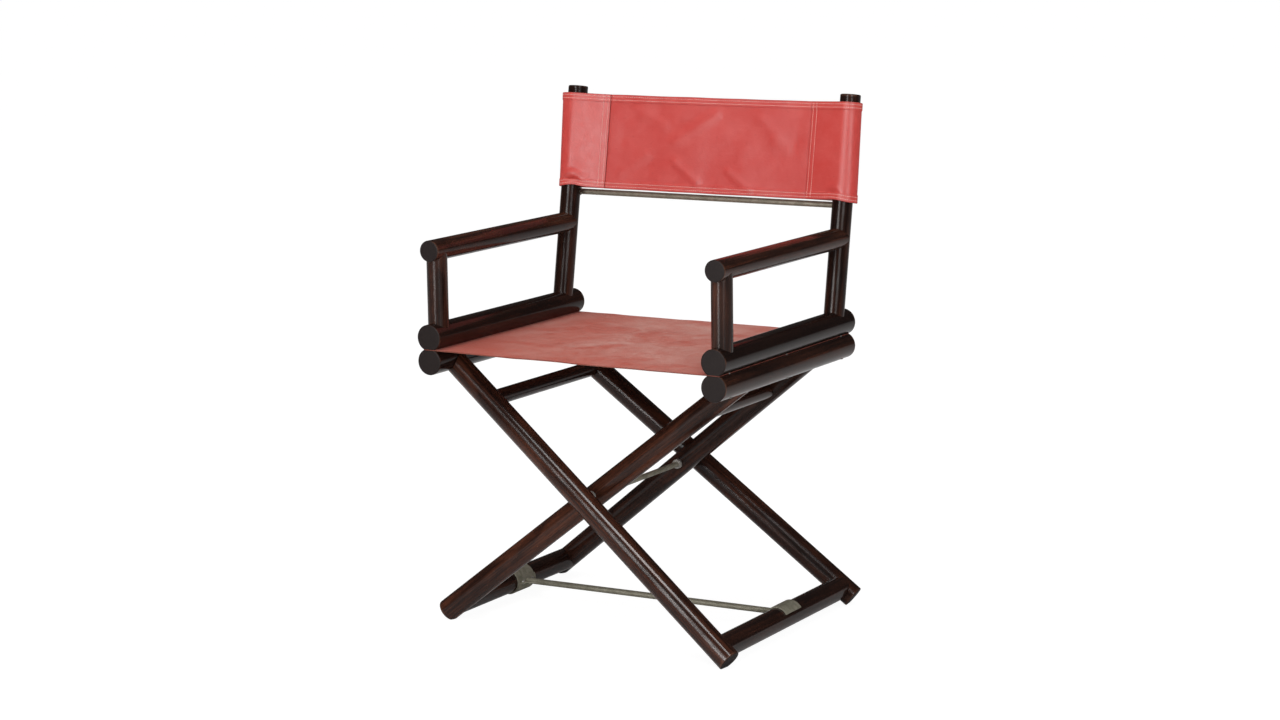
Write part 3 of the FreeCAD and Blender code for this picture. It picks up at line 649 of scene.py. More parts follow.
def seat_grids(thickness):
    """The seat's upper and lower face, as columns from right to left and rows to the rear."""
    half = [SEAT_EDGE_X - part for part in FREE_EDGE] + [SLING_X]
    columns = spaced(half + [0] + [-x for x in reversed(half)], SEAT_STEP)
    rows = spaced([SEAT_FRONT + part for part in FREE_EDGE]
                  + [SEAT_REAR - part for part in reversed(FREE_EDGE)], SEAT_STEP)
    x, y = np.meshgrid(columns, rows, indexing="ij")
    sag = SEAT_HEIGHT - thickness / 2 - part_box("seat_sling")[0].z
    free = 1 - np.clip(x / SLING_X, -1, 1) ** 2
    places = np.stack([x, y, 0 * x], 2)
    ripple = sum(wander(places, scale, seed) * height for scale, seed, height in SEAT_RIPPLES)
    lip = LIP * hump(y, SEAT_FRONT, FRONT_REACH)
    z = SEAT_HEIGHT - sag * SAG_SHARE * free + (ripple - lip) * np.minimum(1, 3 * free)
    middle = np.stack([x, y, z], 2)
    to_edge = np.minimum(np.minimum(y - SEAT_FRONT, SEAT_REAR - y), SEAT_EDGE_X - abs(x))
    depth = (thickness / 2 * rounded(to_edge))[..., None]
    clear = (1 - RAIL_CLEARANCE + RAIL_CLEARANCE * np.minimum(1, 6 * free))[..., None]
    offset = grid_normals(middle) * depth * clear
    layers = {"wear_and_painted_light": seat_wear_and_painted_shade(x, y, places), "edge": np.maximum(to_edge, 0)}
    return middle + offset, middle - offset, columns, layers


def column_at(columns, value):
    return int(np.argmin(abs(columns - value)))


def make_seat(chair):
    skin = chair.leather
    top, bottom, columns, layers = seat_grids(skin.thickness)
    material = leather("seat_leather_worn_and_painted_shade", skin.seat_colour, skin.seat_faded,
                       SEAT_EDGE_COLOUR, 0.5, specular_ior_level=0.2, sheen_weight=0.08,
                       sheen_roughness=0.4)
    under = suede("seat_flesh_side", SEAT_UNDERSIDE)
    right = column_at(columns, SLING_X)
    left = column_at(columns, -SLING_X)
    last = len(columns) - 1
    parts = {
        "seat_leather": ((right, left), "left_side", "seat_sling", 2 * SLING_X),
        "seat_edge_left": ((left, last), "left_side", "left_seat_edge", SEAT_EDGE_X - SLING_X),
        "seat_edge_right": ((0, right), "right_side", "right_seat_edge", SEAT_EDGE_X - SLING_X),
    }
    for name, (columns_of, body, node, width) in parts.items():
        mesh = closed_sheet(name, top, bottom, [columns_of], layers, [material, under])
        piece = place_piece(name, mesh, body, [node])
        if name == "seat_leather":
            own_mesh(piece)


# ---------------------------------------------------------------- back
BACK_STEP = 0.004
HEM_ROWS = (0.004, 0.0095)        # stitch rows, from the back's long edges
FLAP_ROWS = (0.0045, 0.0125)      # stitch rows, from the flap's edge
GROOVE = 0.0008                   # half the width of the groove that a row is sunk in
GROOVE_DEPTH = 0.0003
HALF_GAP = 0.0011                 # of the flap's and the panel's middles at the seam
PANEL_START = 0.058               # from a post's axis, where the returned leather is flat
FOLDS = (
    # soft folds of the panel: from (x, height), to (x, height), half width, depth
    ((0.012, 0.337), (-0.061, 0.290), 0.011, 0.0016),
    ((-0.060, 0.253), (-0.014, 0.222), 0.007, 0.0014),
    ((0.044, 0.242), (0.086, 0.213), 0.007, 0.0013),
    ((-0.142, 0.341), (-0.084, 0.315), 0.010, 0.0011),
    ((0.100, 0.330), (0.150, 0.285), 0.012, 0.0010),
    ((-0.120, 0.262), (-0.165, 0.232), 0.011, 0.0009),
)
BACK_WAVES = ((12, 11, 0.0017), (27, 12, 0.0008))     # scale, seed and height of each
FLAP_WAVES = (22, 17, 0.0007)
FLAP_STAND = 0.0004               # how far the whole flap stands to the front
HEM_WAVES = (16, 19, 0.0005)
HEM_EDGE = (0, 0.0003, 0.0008, 0.0015)
PANEL_BULGE = 0.0012              # of the middle of the panel, to the rear
# for the left (-1) and right (1) sleeve: how far it stands off the outside of its post at the
# top and at the bottom, how far it droops there, and how strongly it puckers
TOP_SLACK = {-1: 0.0072, 1: 0.0006}
BOTTOM_SLACK = {-1: 0.0006, 1: 0.0048}
DROOP = {-1: -0.0006, 1: -0.0026}
PUCKER = {-1: 1.0, 1: 0.35}
PUCKER_X = 0.012                  # inward from the post's axis
PUCKER_WIDTH = 0.015
PUCKER_ARCH = 0.006               # how much higher its waves run in the middle
PUCKER_LIFT = 0.0030
# height, width and depth to the rear of each wave
ARCHED_WAVES = ((0.0085, 0.0030, 0.0030), (0.0165, 0.0060, -0.0042))
HEM_ROLL = (0.0015, 0.0030, -0.0012)
BACK_EDGE_COLOUR = (0.33, 0.05, 0.04)
BEND_STEP = math.radians(7)       # between columns round a post
EASE_START = 0.9                  # where the returned leather starts to bend into the panel
EASE_PARTS = (0.25, 0.5, 0.75, 1.0)
RETURN_STEP = 0.07
PANEL_STOPS = (-0.0012, 0.0006, 0.003)      # columns about the flap's edge on the panel


def touch_angle(u, q, radius, behind):
    """Angle at which a line from a point meets the round of the sleeve."""
    reach = math.hypot(u, q)
    turn = math.asin(radius / reach)
    offset = math.atan2(q, u)
    return (math.pi + turn if behind else -turn) - offset


def round_point(angle, radius):
    return np.array([-radius * math.sin(angle), -radius * math.cos(angle)])


def groove_stops(rows):
    """Places that shape a groove along each row of stitches."""
    return [row + part for row in rows for part in (-GROOVE, 0, GROOVE)]


def back_section(flap_reach):
    """The leather seen from above, from the left flap's edge to the middle of the back.

    Points are (inward from the post's axis, behind it). Also gives the columns where the
    leather is cut between the sleeve and the panel, and the column of each stitch row.
    """
    hold = RAIL_X - SPLIT_X
    flap = np.array([flap_reach, -HALF_GAP])
    flat = np.array([PANEL_START, HALF_GAP])
    front = touch_angle(*flap, SLEEVE_RADIUS, False)
    rear = touch_angle(*flat, SLEEVE_RADIUS, True)
    front_point = round_point(front, SLEEVE_RADIUS)
    rear_point = round_point(rear, SLEEVE_RADIUS)
    length = np.linalg.norm(front_point - flap)
    to_cut = length * (flap_reach - hold) / (flap_reach - front_point[0])
    run = spaced([*FREE_EDGE, *groove_stops(FLAP_ROWS), to_cut, length], BACK_STEP)
    marks = {"row": [column_at(run, row) for row in FLAP_ROWS], "cut": [column_at(run, to_cut)]}
    points = [flap + (front_point - flap) * part / length for part in run]
    points += [round_point(angle, SLEEVE_RADIUS) for angle in spaced([front, rear], BEND_STEP)[1:]]
    share = (hold - rear_point[0]) / (PANEL_START - rear_point[0])
    returned = spaced([0, share], RETURN_STEP)[1:].tolist()
    marks["cut"].append(len(points) + len(returned) - 1)
    returned += spaced([share, EASE_START], RETURN_STEP)[1:].tolist()
    points += [rear_point + (flat - rear_point) * part for part in returned]
    corner = points[-1]
    after = flat + (flat[0] - corner[0]) * np.array([1, 0])
    points += [(1 - part) ** 2 * corner + 2 * part * (1 - part) * flat + part ** 2 * after
               for part in EASE_PARTS]
    row_stops = [flap_reach - row for row in reversed(FLAP_ROWS) if flap_reach - row > after[0]]
    panel = [after[0]] + row_stops + [flap_reach + part for part in PANEL_STOPS] + [RAIL_X]
    points += [np.array([u, HALF_GAP]) for u in spaced(panel, BACK_STEP)[1:]]
    return np.array(points), marks


def by_side(side, values):
    return np.where(side < 0, values[-1], values[1])


def back_slack(u, q, h, side, column_share):
    """How the leather stands off the posts, puckers and droops, as offsets of (u, q, h)."""
    low = h - BACK_BOTTOM
    share = low / (BACK_TOP - BACK_BOTTOM)
    outside = smooth(u, 0.006, -SLEEVE_RADIUS)
    bottom, top = by_side(side, BOTTOM_SLACK), by_side(side, TOP_SLACK)
    move_u = -(bottom + (top - bottom) * share) * outside
    pucker = (by_side(side, PUCKER) * hump(u, PUCKER_X, PUCKER_WIDTH)
              * (q < 0) * (column_share < 1))
    arch = low - PUCKER_ARCH * hump(u, 0.010, 0.016)
    move_q = sum(depth * pucker * hump(arch, place, width)
                 for place, width, depth in ARCHED_WAVES)
    place, width, depth = HEM_ROLL
    move_q += depth * pucker * hump(low, place, width)
    move_h = (by_side(side, DROOP) * outside * hump(low, 0, 0.03)
              + PUCKER_LIFT * pucker * hump(low, 0, 0.007))
    return move_u, move_q, move_h


def fold_ridges(x, h):
    """Height of the panel's soft folds at each place."""
    places = np.stack([x, h], 2)
    raised = 0 * x
    for start, end, width, depth in FOLDS:
        start, end = np.array(start), np.array(end)
        run = end - start
        along = ((places - start) @ run / (run @ run))
        nearest = start + np.clip(along, 0, 1)[..., None] * run
        away = np.linalg.norm(places - nearest, axis=2)
        raised = raised + depth * hump(away, 0, width)
    return raised


def back_heights(skin):
    """Heights of the rows of points, close together at the hems."""
    low = [*HEM_EDGE, *groove_stops(HEM_ROWS),
           skin.hem_width - 0.0004, skin.hem_width, skin.hem_width + 0.0006]
    return spaced([BACK_BOTTOM + part for part in low]
                  + [BACK_TOP - part for part in reversed(low)], BACK_STEP)


def back_middle(x, behind, height):
    """Places in the chair of points given in the back's own frame."""
    foot, square, up = np.array(BACK_FOOT), np.array(BACK_SQUARE), np.array(BACK_UP)
    return (foot + x[..., None] * np.array(X_AXIS) + behind[..., None] * square
            + height[..., None] * up)


def waves(places, scale, seed, height):
    return height * wander(places, scale, seed)


def back_grids(skin):
    """Both faces of the back's leather, as columns from the left flap to the right one."""
    section, marks = back_section(skin.flap_reach)
    half = len(section)
    count = 2 * half - 1
    order = np.array(list(range(half)) + list(range(half - 2, -1, -1)))
    heights = back_heights(skin)

    def column_values(values):
        return np.repeat(np.asarray(values)[:, None], len(heights), 1)

    u, q = column_values(section[order, 0]), column_values(section[order, 1])
    h = np.repeat(heights[None, :], count, 0)
    side = column_values(np.where(np.arange(count) < half, -1, 1))
    panel = column_values(np.where(order <= marks["cut"][1], 0, 1))
    run = np.concatenate([[0], np.cumsum(np.hypot(*np.diff(section, axis=0).T))])
    from_flap = column_values(run[order])

    move_u, move_q, move_h = back_slack(u, q, h, side, panel)
    x = side * (RAIL_X - u - move_u)
    flap_x = RAIL_X - skin.flap_reach
    flat_places = np.stack([x, h], 2)
    to_edge = np.minimum(h - BACK_BOTTOM, BACK_TOP - h)
    open_part = panel * smooth(abs(x), flap_x, flap_x - 0.03)
    rise = sum(waves(flat_places, *wave) for wave in BACK_WAVES) - fold_ridges(x, h)
    loose = (1 - panel) * hump(u, 0.036, 0.02)
    behind = (q + move_q + (rise + PANEL_BULGE) * open_part
              + loose * (waves(flat_places, *FLAP_WAVES) - FLAP_STAND) * (q < 0))
    height = h + move_h + waves(flat_places, *HEM_WAVES) * smooth(to_edge, 0.02, 0)
    middle = back_middle(x, behind, height)

    hem = skin.hem_rise * smooth(to_edge, skin.hem_width + 0.0003, skin.hem_width - 0.0003)
    sunk = sum(hump(to_edge, row, GROOVE * 0.7) for row in HEM_ROWS)
    flap_sunk = sum(hump(from_flap, row, GROOVE * 0.7) for row in FLAP_ROWS)
    panel_front = panel * smooth(abs(x), flap_x + 0.0002, flap_x - 0.0006)
    outer_depth = skin.thickness / 2 + hem - GROOVE_DEPTH * (sunk + flap_sunk)
    inner_depth = skin.thickness / 2 + (hem - GROOVE_DEPTH * sunk) * panel_front
    free = np.minimum(to_edge, from_flap)
    normals = grid_normals(middle)
    outer = middle + normals * (outer_depth * rounded(free))[..., None]
    inner = middle - normals * (inner_depth * rounded(free))[..., None]

    # Painted sheen: the front of each sleeve is faded towards the paler red, much more on the left
    # sleeve than on the right, which paints the left sleeve's broad sheen into its colour. The hem
    # band and a gentle noise add real fading by use.
    sleeve_sheen_painted = hump(u, 0.03, 0.03) * (1 - panel) * (q < 0)
    wear_and_painted_light = (0.25 + by_side(side, {-1: 0.55, 1: 0.05}) * sleeve_sheen_painted
            + 0.3 * smooth(to_edge, skin.hem_width, skin.hem_width - 0.001)
            + 0.25 * wander(flat_places, 10, 23))
    layers = {"wear_and_painted_light": np.clip(wear_and_painted_light, 0, 1), "edge": np.maximum(free, 0)}
    return outer, inner, heights, marks, half, layers


def mirrored(column, half):
    """The column on the right that matches one on the left."""
    return 2 * (half - 1) - column


def back_parts(marks, half):
    """Spans of columns of the sleeves and of the panel between them."""
    one, two = marks["cut"]
    last = mirrored(0, half)
    return {
        "back_sleeve_left": [(one, two)],
        "back_panel_leather": [(0, one), (two, mirrored(two, half)), (mirrored(one, half), last)],
        "back_sleeve_right": [(mirrored(two, half), mirrored(one, half))],
    }


BACK_BODIES = {
    "back_sleeve_left": ("left_side", "left_back_sleeve"),
    "back_panel_leather": ("left_side", "back_panel"),
    "back_sleeve_right": ("right_side", "right_back_sleeve"),
}


def squash_back(piece):
    """Give the piece its own copy of its mesh."""
    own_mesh(piece)


def make_back(chair):
    skin = chair.leather
    outer, inner, _, marks, half, layers = back_grids(skin)
    material = leather("back_leather_red", skin.back_colour, skin.back_faded_and_sheen,
                       BACK_EDGE_COLOUR, 0.32, specular_ior_level=0.16, sheen_weight=0.05,
                       sheen_roughness=0.35)
    for name, spans in back_parts(marks, half).items():
        body, node = BACK_BODIES[name]
        mesh = closed_sheet(name, outer, inner, spans, layers, [material])
        piece = place_piece(name, mesh, body, [node])
        if name == "back_panel_leather":
            squash_back(piece)


# ---------------------------------------------------------------- stitching
THREAD_LIFT = 0.22                # share of the thread's width that its middle stands proud
PAST_FLAP = 0.0005                # past the flap's edge, where the rear rows start


def live(sockets, name):
    """The socket of that name that a node's settings leave in use."""
    return next(socket for socket in sockets if socket.name == name and socket.enabled)


def new_tree(name, inputs):
    """A Geometry Nodes tree with a mesh input and output and some named inputs."""
    tree = bpy.data.node_groups.new(name, "GeometryNodeTree")
    tree.interface.new_socket("Geometry", in_out="INPUT", socket_type="NodeSocketGeometry")
    for label, kind in inputs:
        tree.interface.new_socket(label, in_out="INPUT", socket_type="NodeSocket" + kind)
    tree.interface.new_socket("Geometry", in_out="OUTPUT", socket_type="NodeSocketGeometry")
    return tree, tree.nodes.new("NodeGroupInput"), tree.nodes.new("NodeGroupOutput")


def random_between(tree, low, high, seed):
    node = tree.nodes.new("FunctionNodeRandomValue")
    node.data_type = "FLOAT"
    live(node.inputs, "Min").default_value = low
    live(node.inputs, "Max").default_value = high
    tree.links.new(seed, live(node.inputs, "Seed"))
    return live(node.outputs, "Value")


def finish_tree(tree, geometry, material, output):
    """End a tree in Realize Instances and Set Material."""
    real = add(tree, "GeometryNodeRealizeInstances", {"Geometry": geometry})
    shaded = add(tree, "GeometryNodeSetShadeSmooth", {"Geometry": real.outputs[0]})
    painted = add(tree, "GeometryNodeSetMaterial",
                  {"Geometry": shaded.outputs[0], "Material": material})
    tree.links.new(painted.outputs[0], output.inputs[0])


def stitch_tree():
    """Stitches laid end to end along the edges of a mesh."""
    tree, entry, output = new_tree("stitch_rows", [
        ("Stitch Length", "Float"), ("Gap", "Float"), ("Thread Width", "Float"),
        ("Seed", "Int"), ("Material", "Material")])
    given = entry.outputs
    row = add(tree, "GeometryNodeMeshToCurve", {"Mesh": given["Geometry"]})
    pitch = plus(tree, given["Stitch Length"], given["Gap"])
    spread = add(tree, "GeometryNodeResampleCurve", {"Curve": row.outputs[0], "Length": pitch},
                 mode="LENGTH")
    ball = add(tree, "GeometryNodeMeshUVSphere", {"Segments": 6, "Rings": 5, "Radius": 0.5})
    turned = add(tree, "GeometryNodeTransform",
                 {"Geometry": ball.outputs["Mesh"], "Rotation": (0, math.pi / 2, 0)})
    length = times(tree, given["Stitch Length"], random_between(tree, 0.88, 1.08, given["Seed"]))
    height = times(tree, given["Thread Width"], random_between(tree, 0.8, 1.1, given["Seed"]))
    tangent = add(tree, "GeometryNodeInputTangent")
    facing = add(tree, "FunctionNodeAlignRotationToVector", {"Vector": tangent.outputs[0]},
                 axis="X")
    laid = add(tree, "GeometryNodeInstanceOnPoints", {
        "Points": spread.outputs[0], "Instance": turned.outputs[0],
        "Rotation": facing.outputs[0],
        "Scale": vector_of(tree, length, given["Thread Width"], height)})
    finish_tree(tree, laid.outputs[0], given["Material"], output)
    return tree


def grown(tree, mesh, name, values):
    """The plain mesh that a tree makes from a mesh."""
    source = bpy.data.objects.new(name + "_source", mesh)
    bpy.context.scene.collection.objects.link(source)
    modifier = source.modifiers.new(tree.name, "NODES")
    modifier.node_group = tree
    for item in tree.interface.items_tree:
        if item.in_out == "INPUT" and item.name in values:
            modifier[item.identifier] = values[item.name]
    evaluated = source.evaluated_get(bpy.context.evaluated_depsgraph_get())
    made = bpy.data.meshes.new_from_object(evaluated)
    made.name = name
    bpy.data.objects.remove(source)
    return made


def rows_mesh(name, rows):
    """A mesh of open chains of edges."""
    points, edges = [], []
    for row in rows:
        start = len(points)
        points += [tuple(point) for point in row]
        edges += [(start + part, start + part + 1) for part in range(len(row) - 1)]
    mesh = bpy.data.meshes.new(name)
    mesh.from_pydata(points, edges, [])
    return mesh


def hem_rows(faces, spans, heights):
    """Rows along the long edges, on each given (points, from column, to column) face."""
    places = [BACK_BOTTOM + row for row in HEM_ROWS] + [BACK_TOP - row for row in HEM_ROWS]
    rows = []
    for level in [column_at(heights, place) for place in places]:
        for points, first, last in faces:
            for a, b in spans:
                low, high = max(a, first), min(b, last)
                if high > low:
                    rows.append(points[low:high + 1, level])
    return rows


def flap_rows(line, heights, marks, half, flap_x):
    """Rows up both flaps, and on the panel beside them where the same seams come through."""
    low = column_at(heights, BACK_BOTTOM + HEM_ROWS[0])
    high = column_at(heights, BACK_TOP - HEM_ROWS[0])
    panel = range(marks["cut"][1], half)
    columns = []
    for mark, place in zip(marks["row"], FLAP_ROWS):
        nearest = min(panel, key=lambda column: abs(line[column, 0, 0] + flap_x + place))
        columns += [mark, mirrored(mark, half), nearest, mirrored(nearest, half)]
    return [line[column, low:high + 1] for column in columns]


def make_stitching(chair):
    """Double rows along both hems, front and rear, and up both flaps."""
    skin, sewing = chair.leather, chair.stitching
    flap_x = RAIL_X - skin.flap_reach
    outer, inner, heights, marks, half, _ = back_grids(skin)
    lift = sewing.thread * THREAD_LIFT
    outer_line = outer + grid_normals(outer) * lift
    inner_line = inner - grid_normals(inner) * lift
    past_flap = next(column for column in range(marks["cut"][1], half)
                     if outer[column, 0, 0] > PAST_FLAP - flap_x)
    faces = [(outer_line, 0, mirrored(0, half)),
             (inner_line, past_flap, mirrored(past_flap, half))]
    tree = stitch_tree()
    values = {"Stitch Length": sewing.length, "Gap": sewing.gap, "Thread Width": sewing.thread,
              "Seed": sewing.seed, "Material": thread(sewing)}
    for name, spans in back_parts(marks, half).items():
        rows = hem_rows(faces, spans, heights)
        if name == "back_panel_leather":
            rows += flap_rows(outer_line, heights, marks, half, flap_x)
        stitches = "stitches_" + name
        mesh = grown(tree, rows_mesh(stitches, rows), stitches, values)
        piece = place_piece(stitches, mesh, BACK_BODIES[name][0])
        if name == "back_panel_leather":
            squash_back(piece)


# ---------------------------------------------------------------- steel parts
BRONZED = ("brace_clip", "brace_saddle", "brace_rod", "spreader_bar", "pivot_axle")
PLAIN = ("left_hinge_rod", "right_hinge_rod", "left_clamp_screws", "right_clamp_screws",
         "spreader_pivot", "spreader_stud", "axle_spacers", "axle_collars", "brace_rivets")
BRASS = ("axle_bushes",)
DULL_BRONZED = (0.13, 0.12, 0.085)
DULL_PLAIN = (0.16, 0.145, 0.12)
DULL_BRASS = (0.2, 0.13, 0.05)
SCREW_HEIGHT = 0.0014
RIVET_HEIGHT = 0.0018
SLOT_TOP = 0.6                    # where the slot's cutter is centred, as a share of the head
HEAD_SEED = 5


def finish_nodes(names, material):
    """Give kept nodes their finish."""
    for name in names:
        piece = frame["nodes"][name]
        piece.data.materials.clear()
        piece.data.materials.append(material)


def make_steel(chair):
    tones = chair.metal
    finish_nodes(BRONZED, metal("bronzed_steel_film", tones.bronzed, DULL_BRONZED, 0.50, 0.7))
    finish_nodes(PLAIN, metal("plain_steel_aged", tones.plain, DULL_PLAIN, 0.36, 0.5))
    finish_nodes(BRASS, metal("bush_brass_aged", tones.brass, DULL_BRASS, 0.34, 0.5))


def domed_head(tree, given):
    ball = add(tree, "GeometryNodeMeshUVSphere",
               {"Segments": 24, "Rings": 12, "Radius": given["Head Radius"]})
    squat = maths(tree, "DIVIDE", given["Head Height"], given["Head Radius"])
    return add(tree, "GeometryNodeTransform", {
        "Geometry": ball.outputs["Mesh"], "Scale": vector_of(tree, 1.0, 1.0, squat)}).outputs[0]


def slotted_head(tree, given):
    disc = add(tree, "GeometryNodeMeshCylinder",
               {"Vertices": 32, "Radius": given["Head Radius"], "Depth": given["Head Height"]})
    length = times(tree, given["Head Radius"], 3.0)
    bar = add(tree, "GeometryNodeMeshCube",
              {"Size": vector_of(tree, length, given["Slot Width"], given["Head Height"])})
    rise = times(tree, given["Head Height"], SLOT_TOP)
    raised = add(tree, "GeometryNodeTransform", {
        "Geometry": bar.outputs["Mesh"], "Translation": vector_of(tree, 0.0, 0.0, rise)})
    cut = add(tree, "GeometryNodeMeshBoolean", {"Mesh 1": disc.outputs["Mesh"]},
              operation="DIFFERENCE")
    tree.links.new(raised.outputs[0], cut.inputs["Mesh 2"])
    return cut.outputs["Mesh"]


def head_tree(name, make_head):
    """Fastener heads on points, each turned to its own facing."""
    tree, entry, output = new_tree(name, [
        ("Head Radius", "Float"), ("Head Height", "Float"), ("Slot Width", "Float"),
        ("Seed", "Int"), ("Material", "Material")])
    given = entry.outputs
    facing = add(tree, "GeometryNodeInputNamedAttribute", {"Name": "facing"},
                 data_type="FLOAT_VECTOR")
    aimed = add(tree, "FunctionNodeAlignRotationToVector",
                {"Vector": live(facing.outputs, "Attribute")}, axis="Z")
    spin = add(tree, "FunctionNodeAxisAngleToRotation",
               {"Axis": (0, 0, 1), "Angle": random_between(tree, 0.0, math.pi, given["Seed"])})
    turned = add(tree, "FunctionNodeRotateRotation",
                 {"Rotation": aimed.outputs[0], "Rotate By": spin.outputs[0]},
                 rotation_space="LOCAL")
    set_on = add(tree, "GeometryNodeInstanceOnPoints", {
        "Points": given["Geometry"], "Instance": make_head(tree, given),
        "Rotation": turned.outputs[0]})
    finish_tree(tree, set_on.outputs[0], given["Material"], output)
    return tree


def heads_mesh(name, places, facing):
    """A mesh of loose points, each with the way its head faces."""
    mesh = bpy.data.meshes.new(name)
    mesh.from_pydata([tuple(place) for place in places], [], [])
    give(mesh, "facing", "FLOAT_VECTOR", [tuple(facing)] * len(places))
    return mesh


def islands(node):
    """Low and high corners of the box of each separate solid in a node."""
    work = bmesh.new()
    work.from_mesh(frame["nodes"][node].data)
    bmesh.ops.remove_doubles(work, verts=work.verts, dist=WELD)
    waiting = set(work.verts)
    boxes = []
    while waiting:
        stack = [waiting.pop()]
        found = list(stack)
        while stack:
            for edge in stack.pop().link_edges:
                for vertex in waiting.intersection(edge.verts):
                    waiting.remove(vertex)
                    stack.append(vertex)
                    found.append(vertex)
        places = np.array([vertex.co for vertex in found])
        boxes.append((Vector(places.min(0)), Vector(places.max(0))))
    work.free()
    return sorted(boxes, key=lambda box: tuple(box[0]))


def make_heads(tree, name, places, facing, body, radius, height, chair):
    values = {"Head Radius": radius, "Head Height": height,
              "Slot Width": chair.metal.slot_width, "Seed": HEAD_SEED,
              "Material": bpy.data.materials["plain_steel_aged"]}
    mesh = grown(tree, heads_mesh(name, places, facing), name, values)
    place_piece(name, mesh, body)


def make_fasteners(chair):
    """Slotted heads on the clamping screws and domed heads on the brace's rivets."""
    tones = chair.metal
    slotted = head_tree("slotted_heads", slotted_head)
    for side in ("left", "right"):
        places = [Vector(((low.x + high.x) / 2, (low.y + high.y) / 2, low.z))
                  for low, high in islands(f"{side}_clamp_screws")]
        make_heads(slotted, f"{side}_screw_heads", places, (0, 0, -1), f"{side}_side",
                   tones.head_radius, SCREW_HEIGHT, chair)
    places = [Vector((high.x - RIVET_HEIGHT / 2, (low.y + high.y) / 2, (low.z + high.z) / 2))
              for low, high in islands("brace_rivets")]
    make_heads(head_tree("domed_heads", domed_head), "rivet_heads", places, X_AXIS,
               "foot_brace", tones.rivet_radius, RIVET_HEIGHT, chair)


# ---------------------------------------------------------------- stage
CAMERA_PLACE = Vector((2.2711, -3.8468, 1.2180))
CAMERA_AIM = Vector((-0.0160, 0.0107, 0.4251))
FILL_LAMPS = {
    # name: (direction round the chair in degrees, distance, height, width, tall, power)
    "front_fill": (-3, 3.2, 1.25, 1.0, 2.3, 20),
    "right_fill": (49, 3.4, 1.9, 1.0, 3.0, 26),
    "side_fill": (118, 3.6, 1.5, 1.6, 2.0, 18),
}
HIGHLIGHT_LAMPS = {
    "front_highlight": (-3, 3.2, 1.25, 0.36, 2.3, 260),
    "right_highlight": (49, 3.4, 1.9, 0.42, 3.0, 230),
    "high_highlight": (42, 1.6, 3.0, 0.9, 0.9, 60),
}
LAMP_AIM_HEIGHT = 1.2              # each lamp is aimed halfway from its own height to this one
OVERHEAD_PLACE = Vector((-0.4, -0.8, 3.4))
OVERHEAD_AIM = Vector((0, 0, 0.5))
OVERHEAD_SIZE = (3.0, 2.4)
OVERHEAD_POWER = 55
FLOOR_HALF = 30.0
FLOOR_TONES = ((0.86, 0.86, 0.86), (0.88, 0.88, 0.88))
FLOOR_WHITE = 1.17                # brightness of the share of the floor that is plain white
FLOOR_SEEN = 0.8                  # that share for the camera, which leaves a faint shadow
FLOOR_REFLECTED = 0.06            # and for reflections


def make_camera(stage):
    camera = bpy.data.objects.new("camera", bpy.data.cameras.new("camera"))
    bpy.context.scene.collection.objects.link(camera)
    camera.data.lens = stage.lens
    camera.data.sensor_width = 36
    camera.data.clip_end = 200
    sight = (CAMERA_AIM - CAMERA_PLACE).to_track_quat("-Z", "Y")
    camera.rotation_mode = "QUATERNION"
    camera.rotation_quaternion = sight @ Quaternion((0, 0, 1), stage.roll)
    camera.location = CAMERA_PLACE
    bpy.context.scene.camera = camera


def area_lamp(name, place, aim, width, tall, power):
    lamp = bpy.data.objects.new(name, bpy.data.lights.new(name, "AREA"))
    bpy.context.scene.collection.objects.link(lamp)
    lamp.data.shape = "RECTANGLE"
    lamp.data.size = width
    lamp.data.size_y = tall
    lamp.data.energy = power
    lamp.location = place
    lamp.rotation_mode = "QUATERNION"
    lamp.rotation_quaternion = (aim - place).to_track_quat("-Z", "Y")
    return lamp


def lamp_round_chair(name, turn, distance, height, width, tall, power):
    angle = math.radians(turn)
    place = Vector((distance * math.sin(angle), -distance * math.cos(angle), height))
    aim = Vector((0, 0, (height + LAMP_AIM_HEIGHT) / 2))
    return area_lamp(name, place, aim, width, tall, power)


def make_lamps():
    """Soft lamps that light the chair, and narrower ones that are only seen as highlights."""
    for name, settings in FILL_LAMPS.items():
        lamp_round_chair(name, *settings).visible_glossy = False
    for name, settings in HIGHLIGHT_LAMPS.items():
        lamp_round_chair(name, *settings).visible_diffuse = False
    overhead = area_lamp("overhead_lamp", OVERHEAD_PLACE, OVERHEAD_AIM, *OVERHEAD_SIZE,
                         OVERHEAD_POWER)
    overhead.visible_glossy = False


def ray_share(tree, camera, mirrored_rays):
    """How much of a plain white each kind of ray sees."""
    path = add(tree, "ShaderNodeLightPath")
    bounced = plus(tree, path.outputs["Is Glossy Ray"], path.outputs["Is Transmission Ray"])
    return plus(tree, times(tree, path.outputs["Is Camera Ray"], camera),
                times(tree, bounced, mirrored_rays))


def make_world(stage):
    """A plain surround that lights matt surfaces, and that the camera sees as white."""
    world = bpy.data.worlds.new("surround")
    world.use_nodes = True
    tree = world.node_tree
    lit = times(tree, add(tree, "ShaderNodeLightPath").outputs["Is Diffuse Ray"], stage.surround)
    seen = ray_share(tree, 1.0, stage.reflected)
    background = tree.nodes["Background"]
    background.inputs["Color"].default_value = (1, 1, 1, 1)
    tree.links.new(plus(tree, lit, seen), background.inputs["Strength"])
    bpy.context.scene.world = world


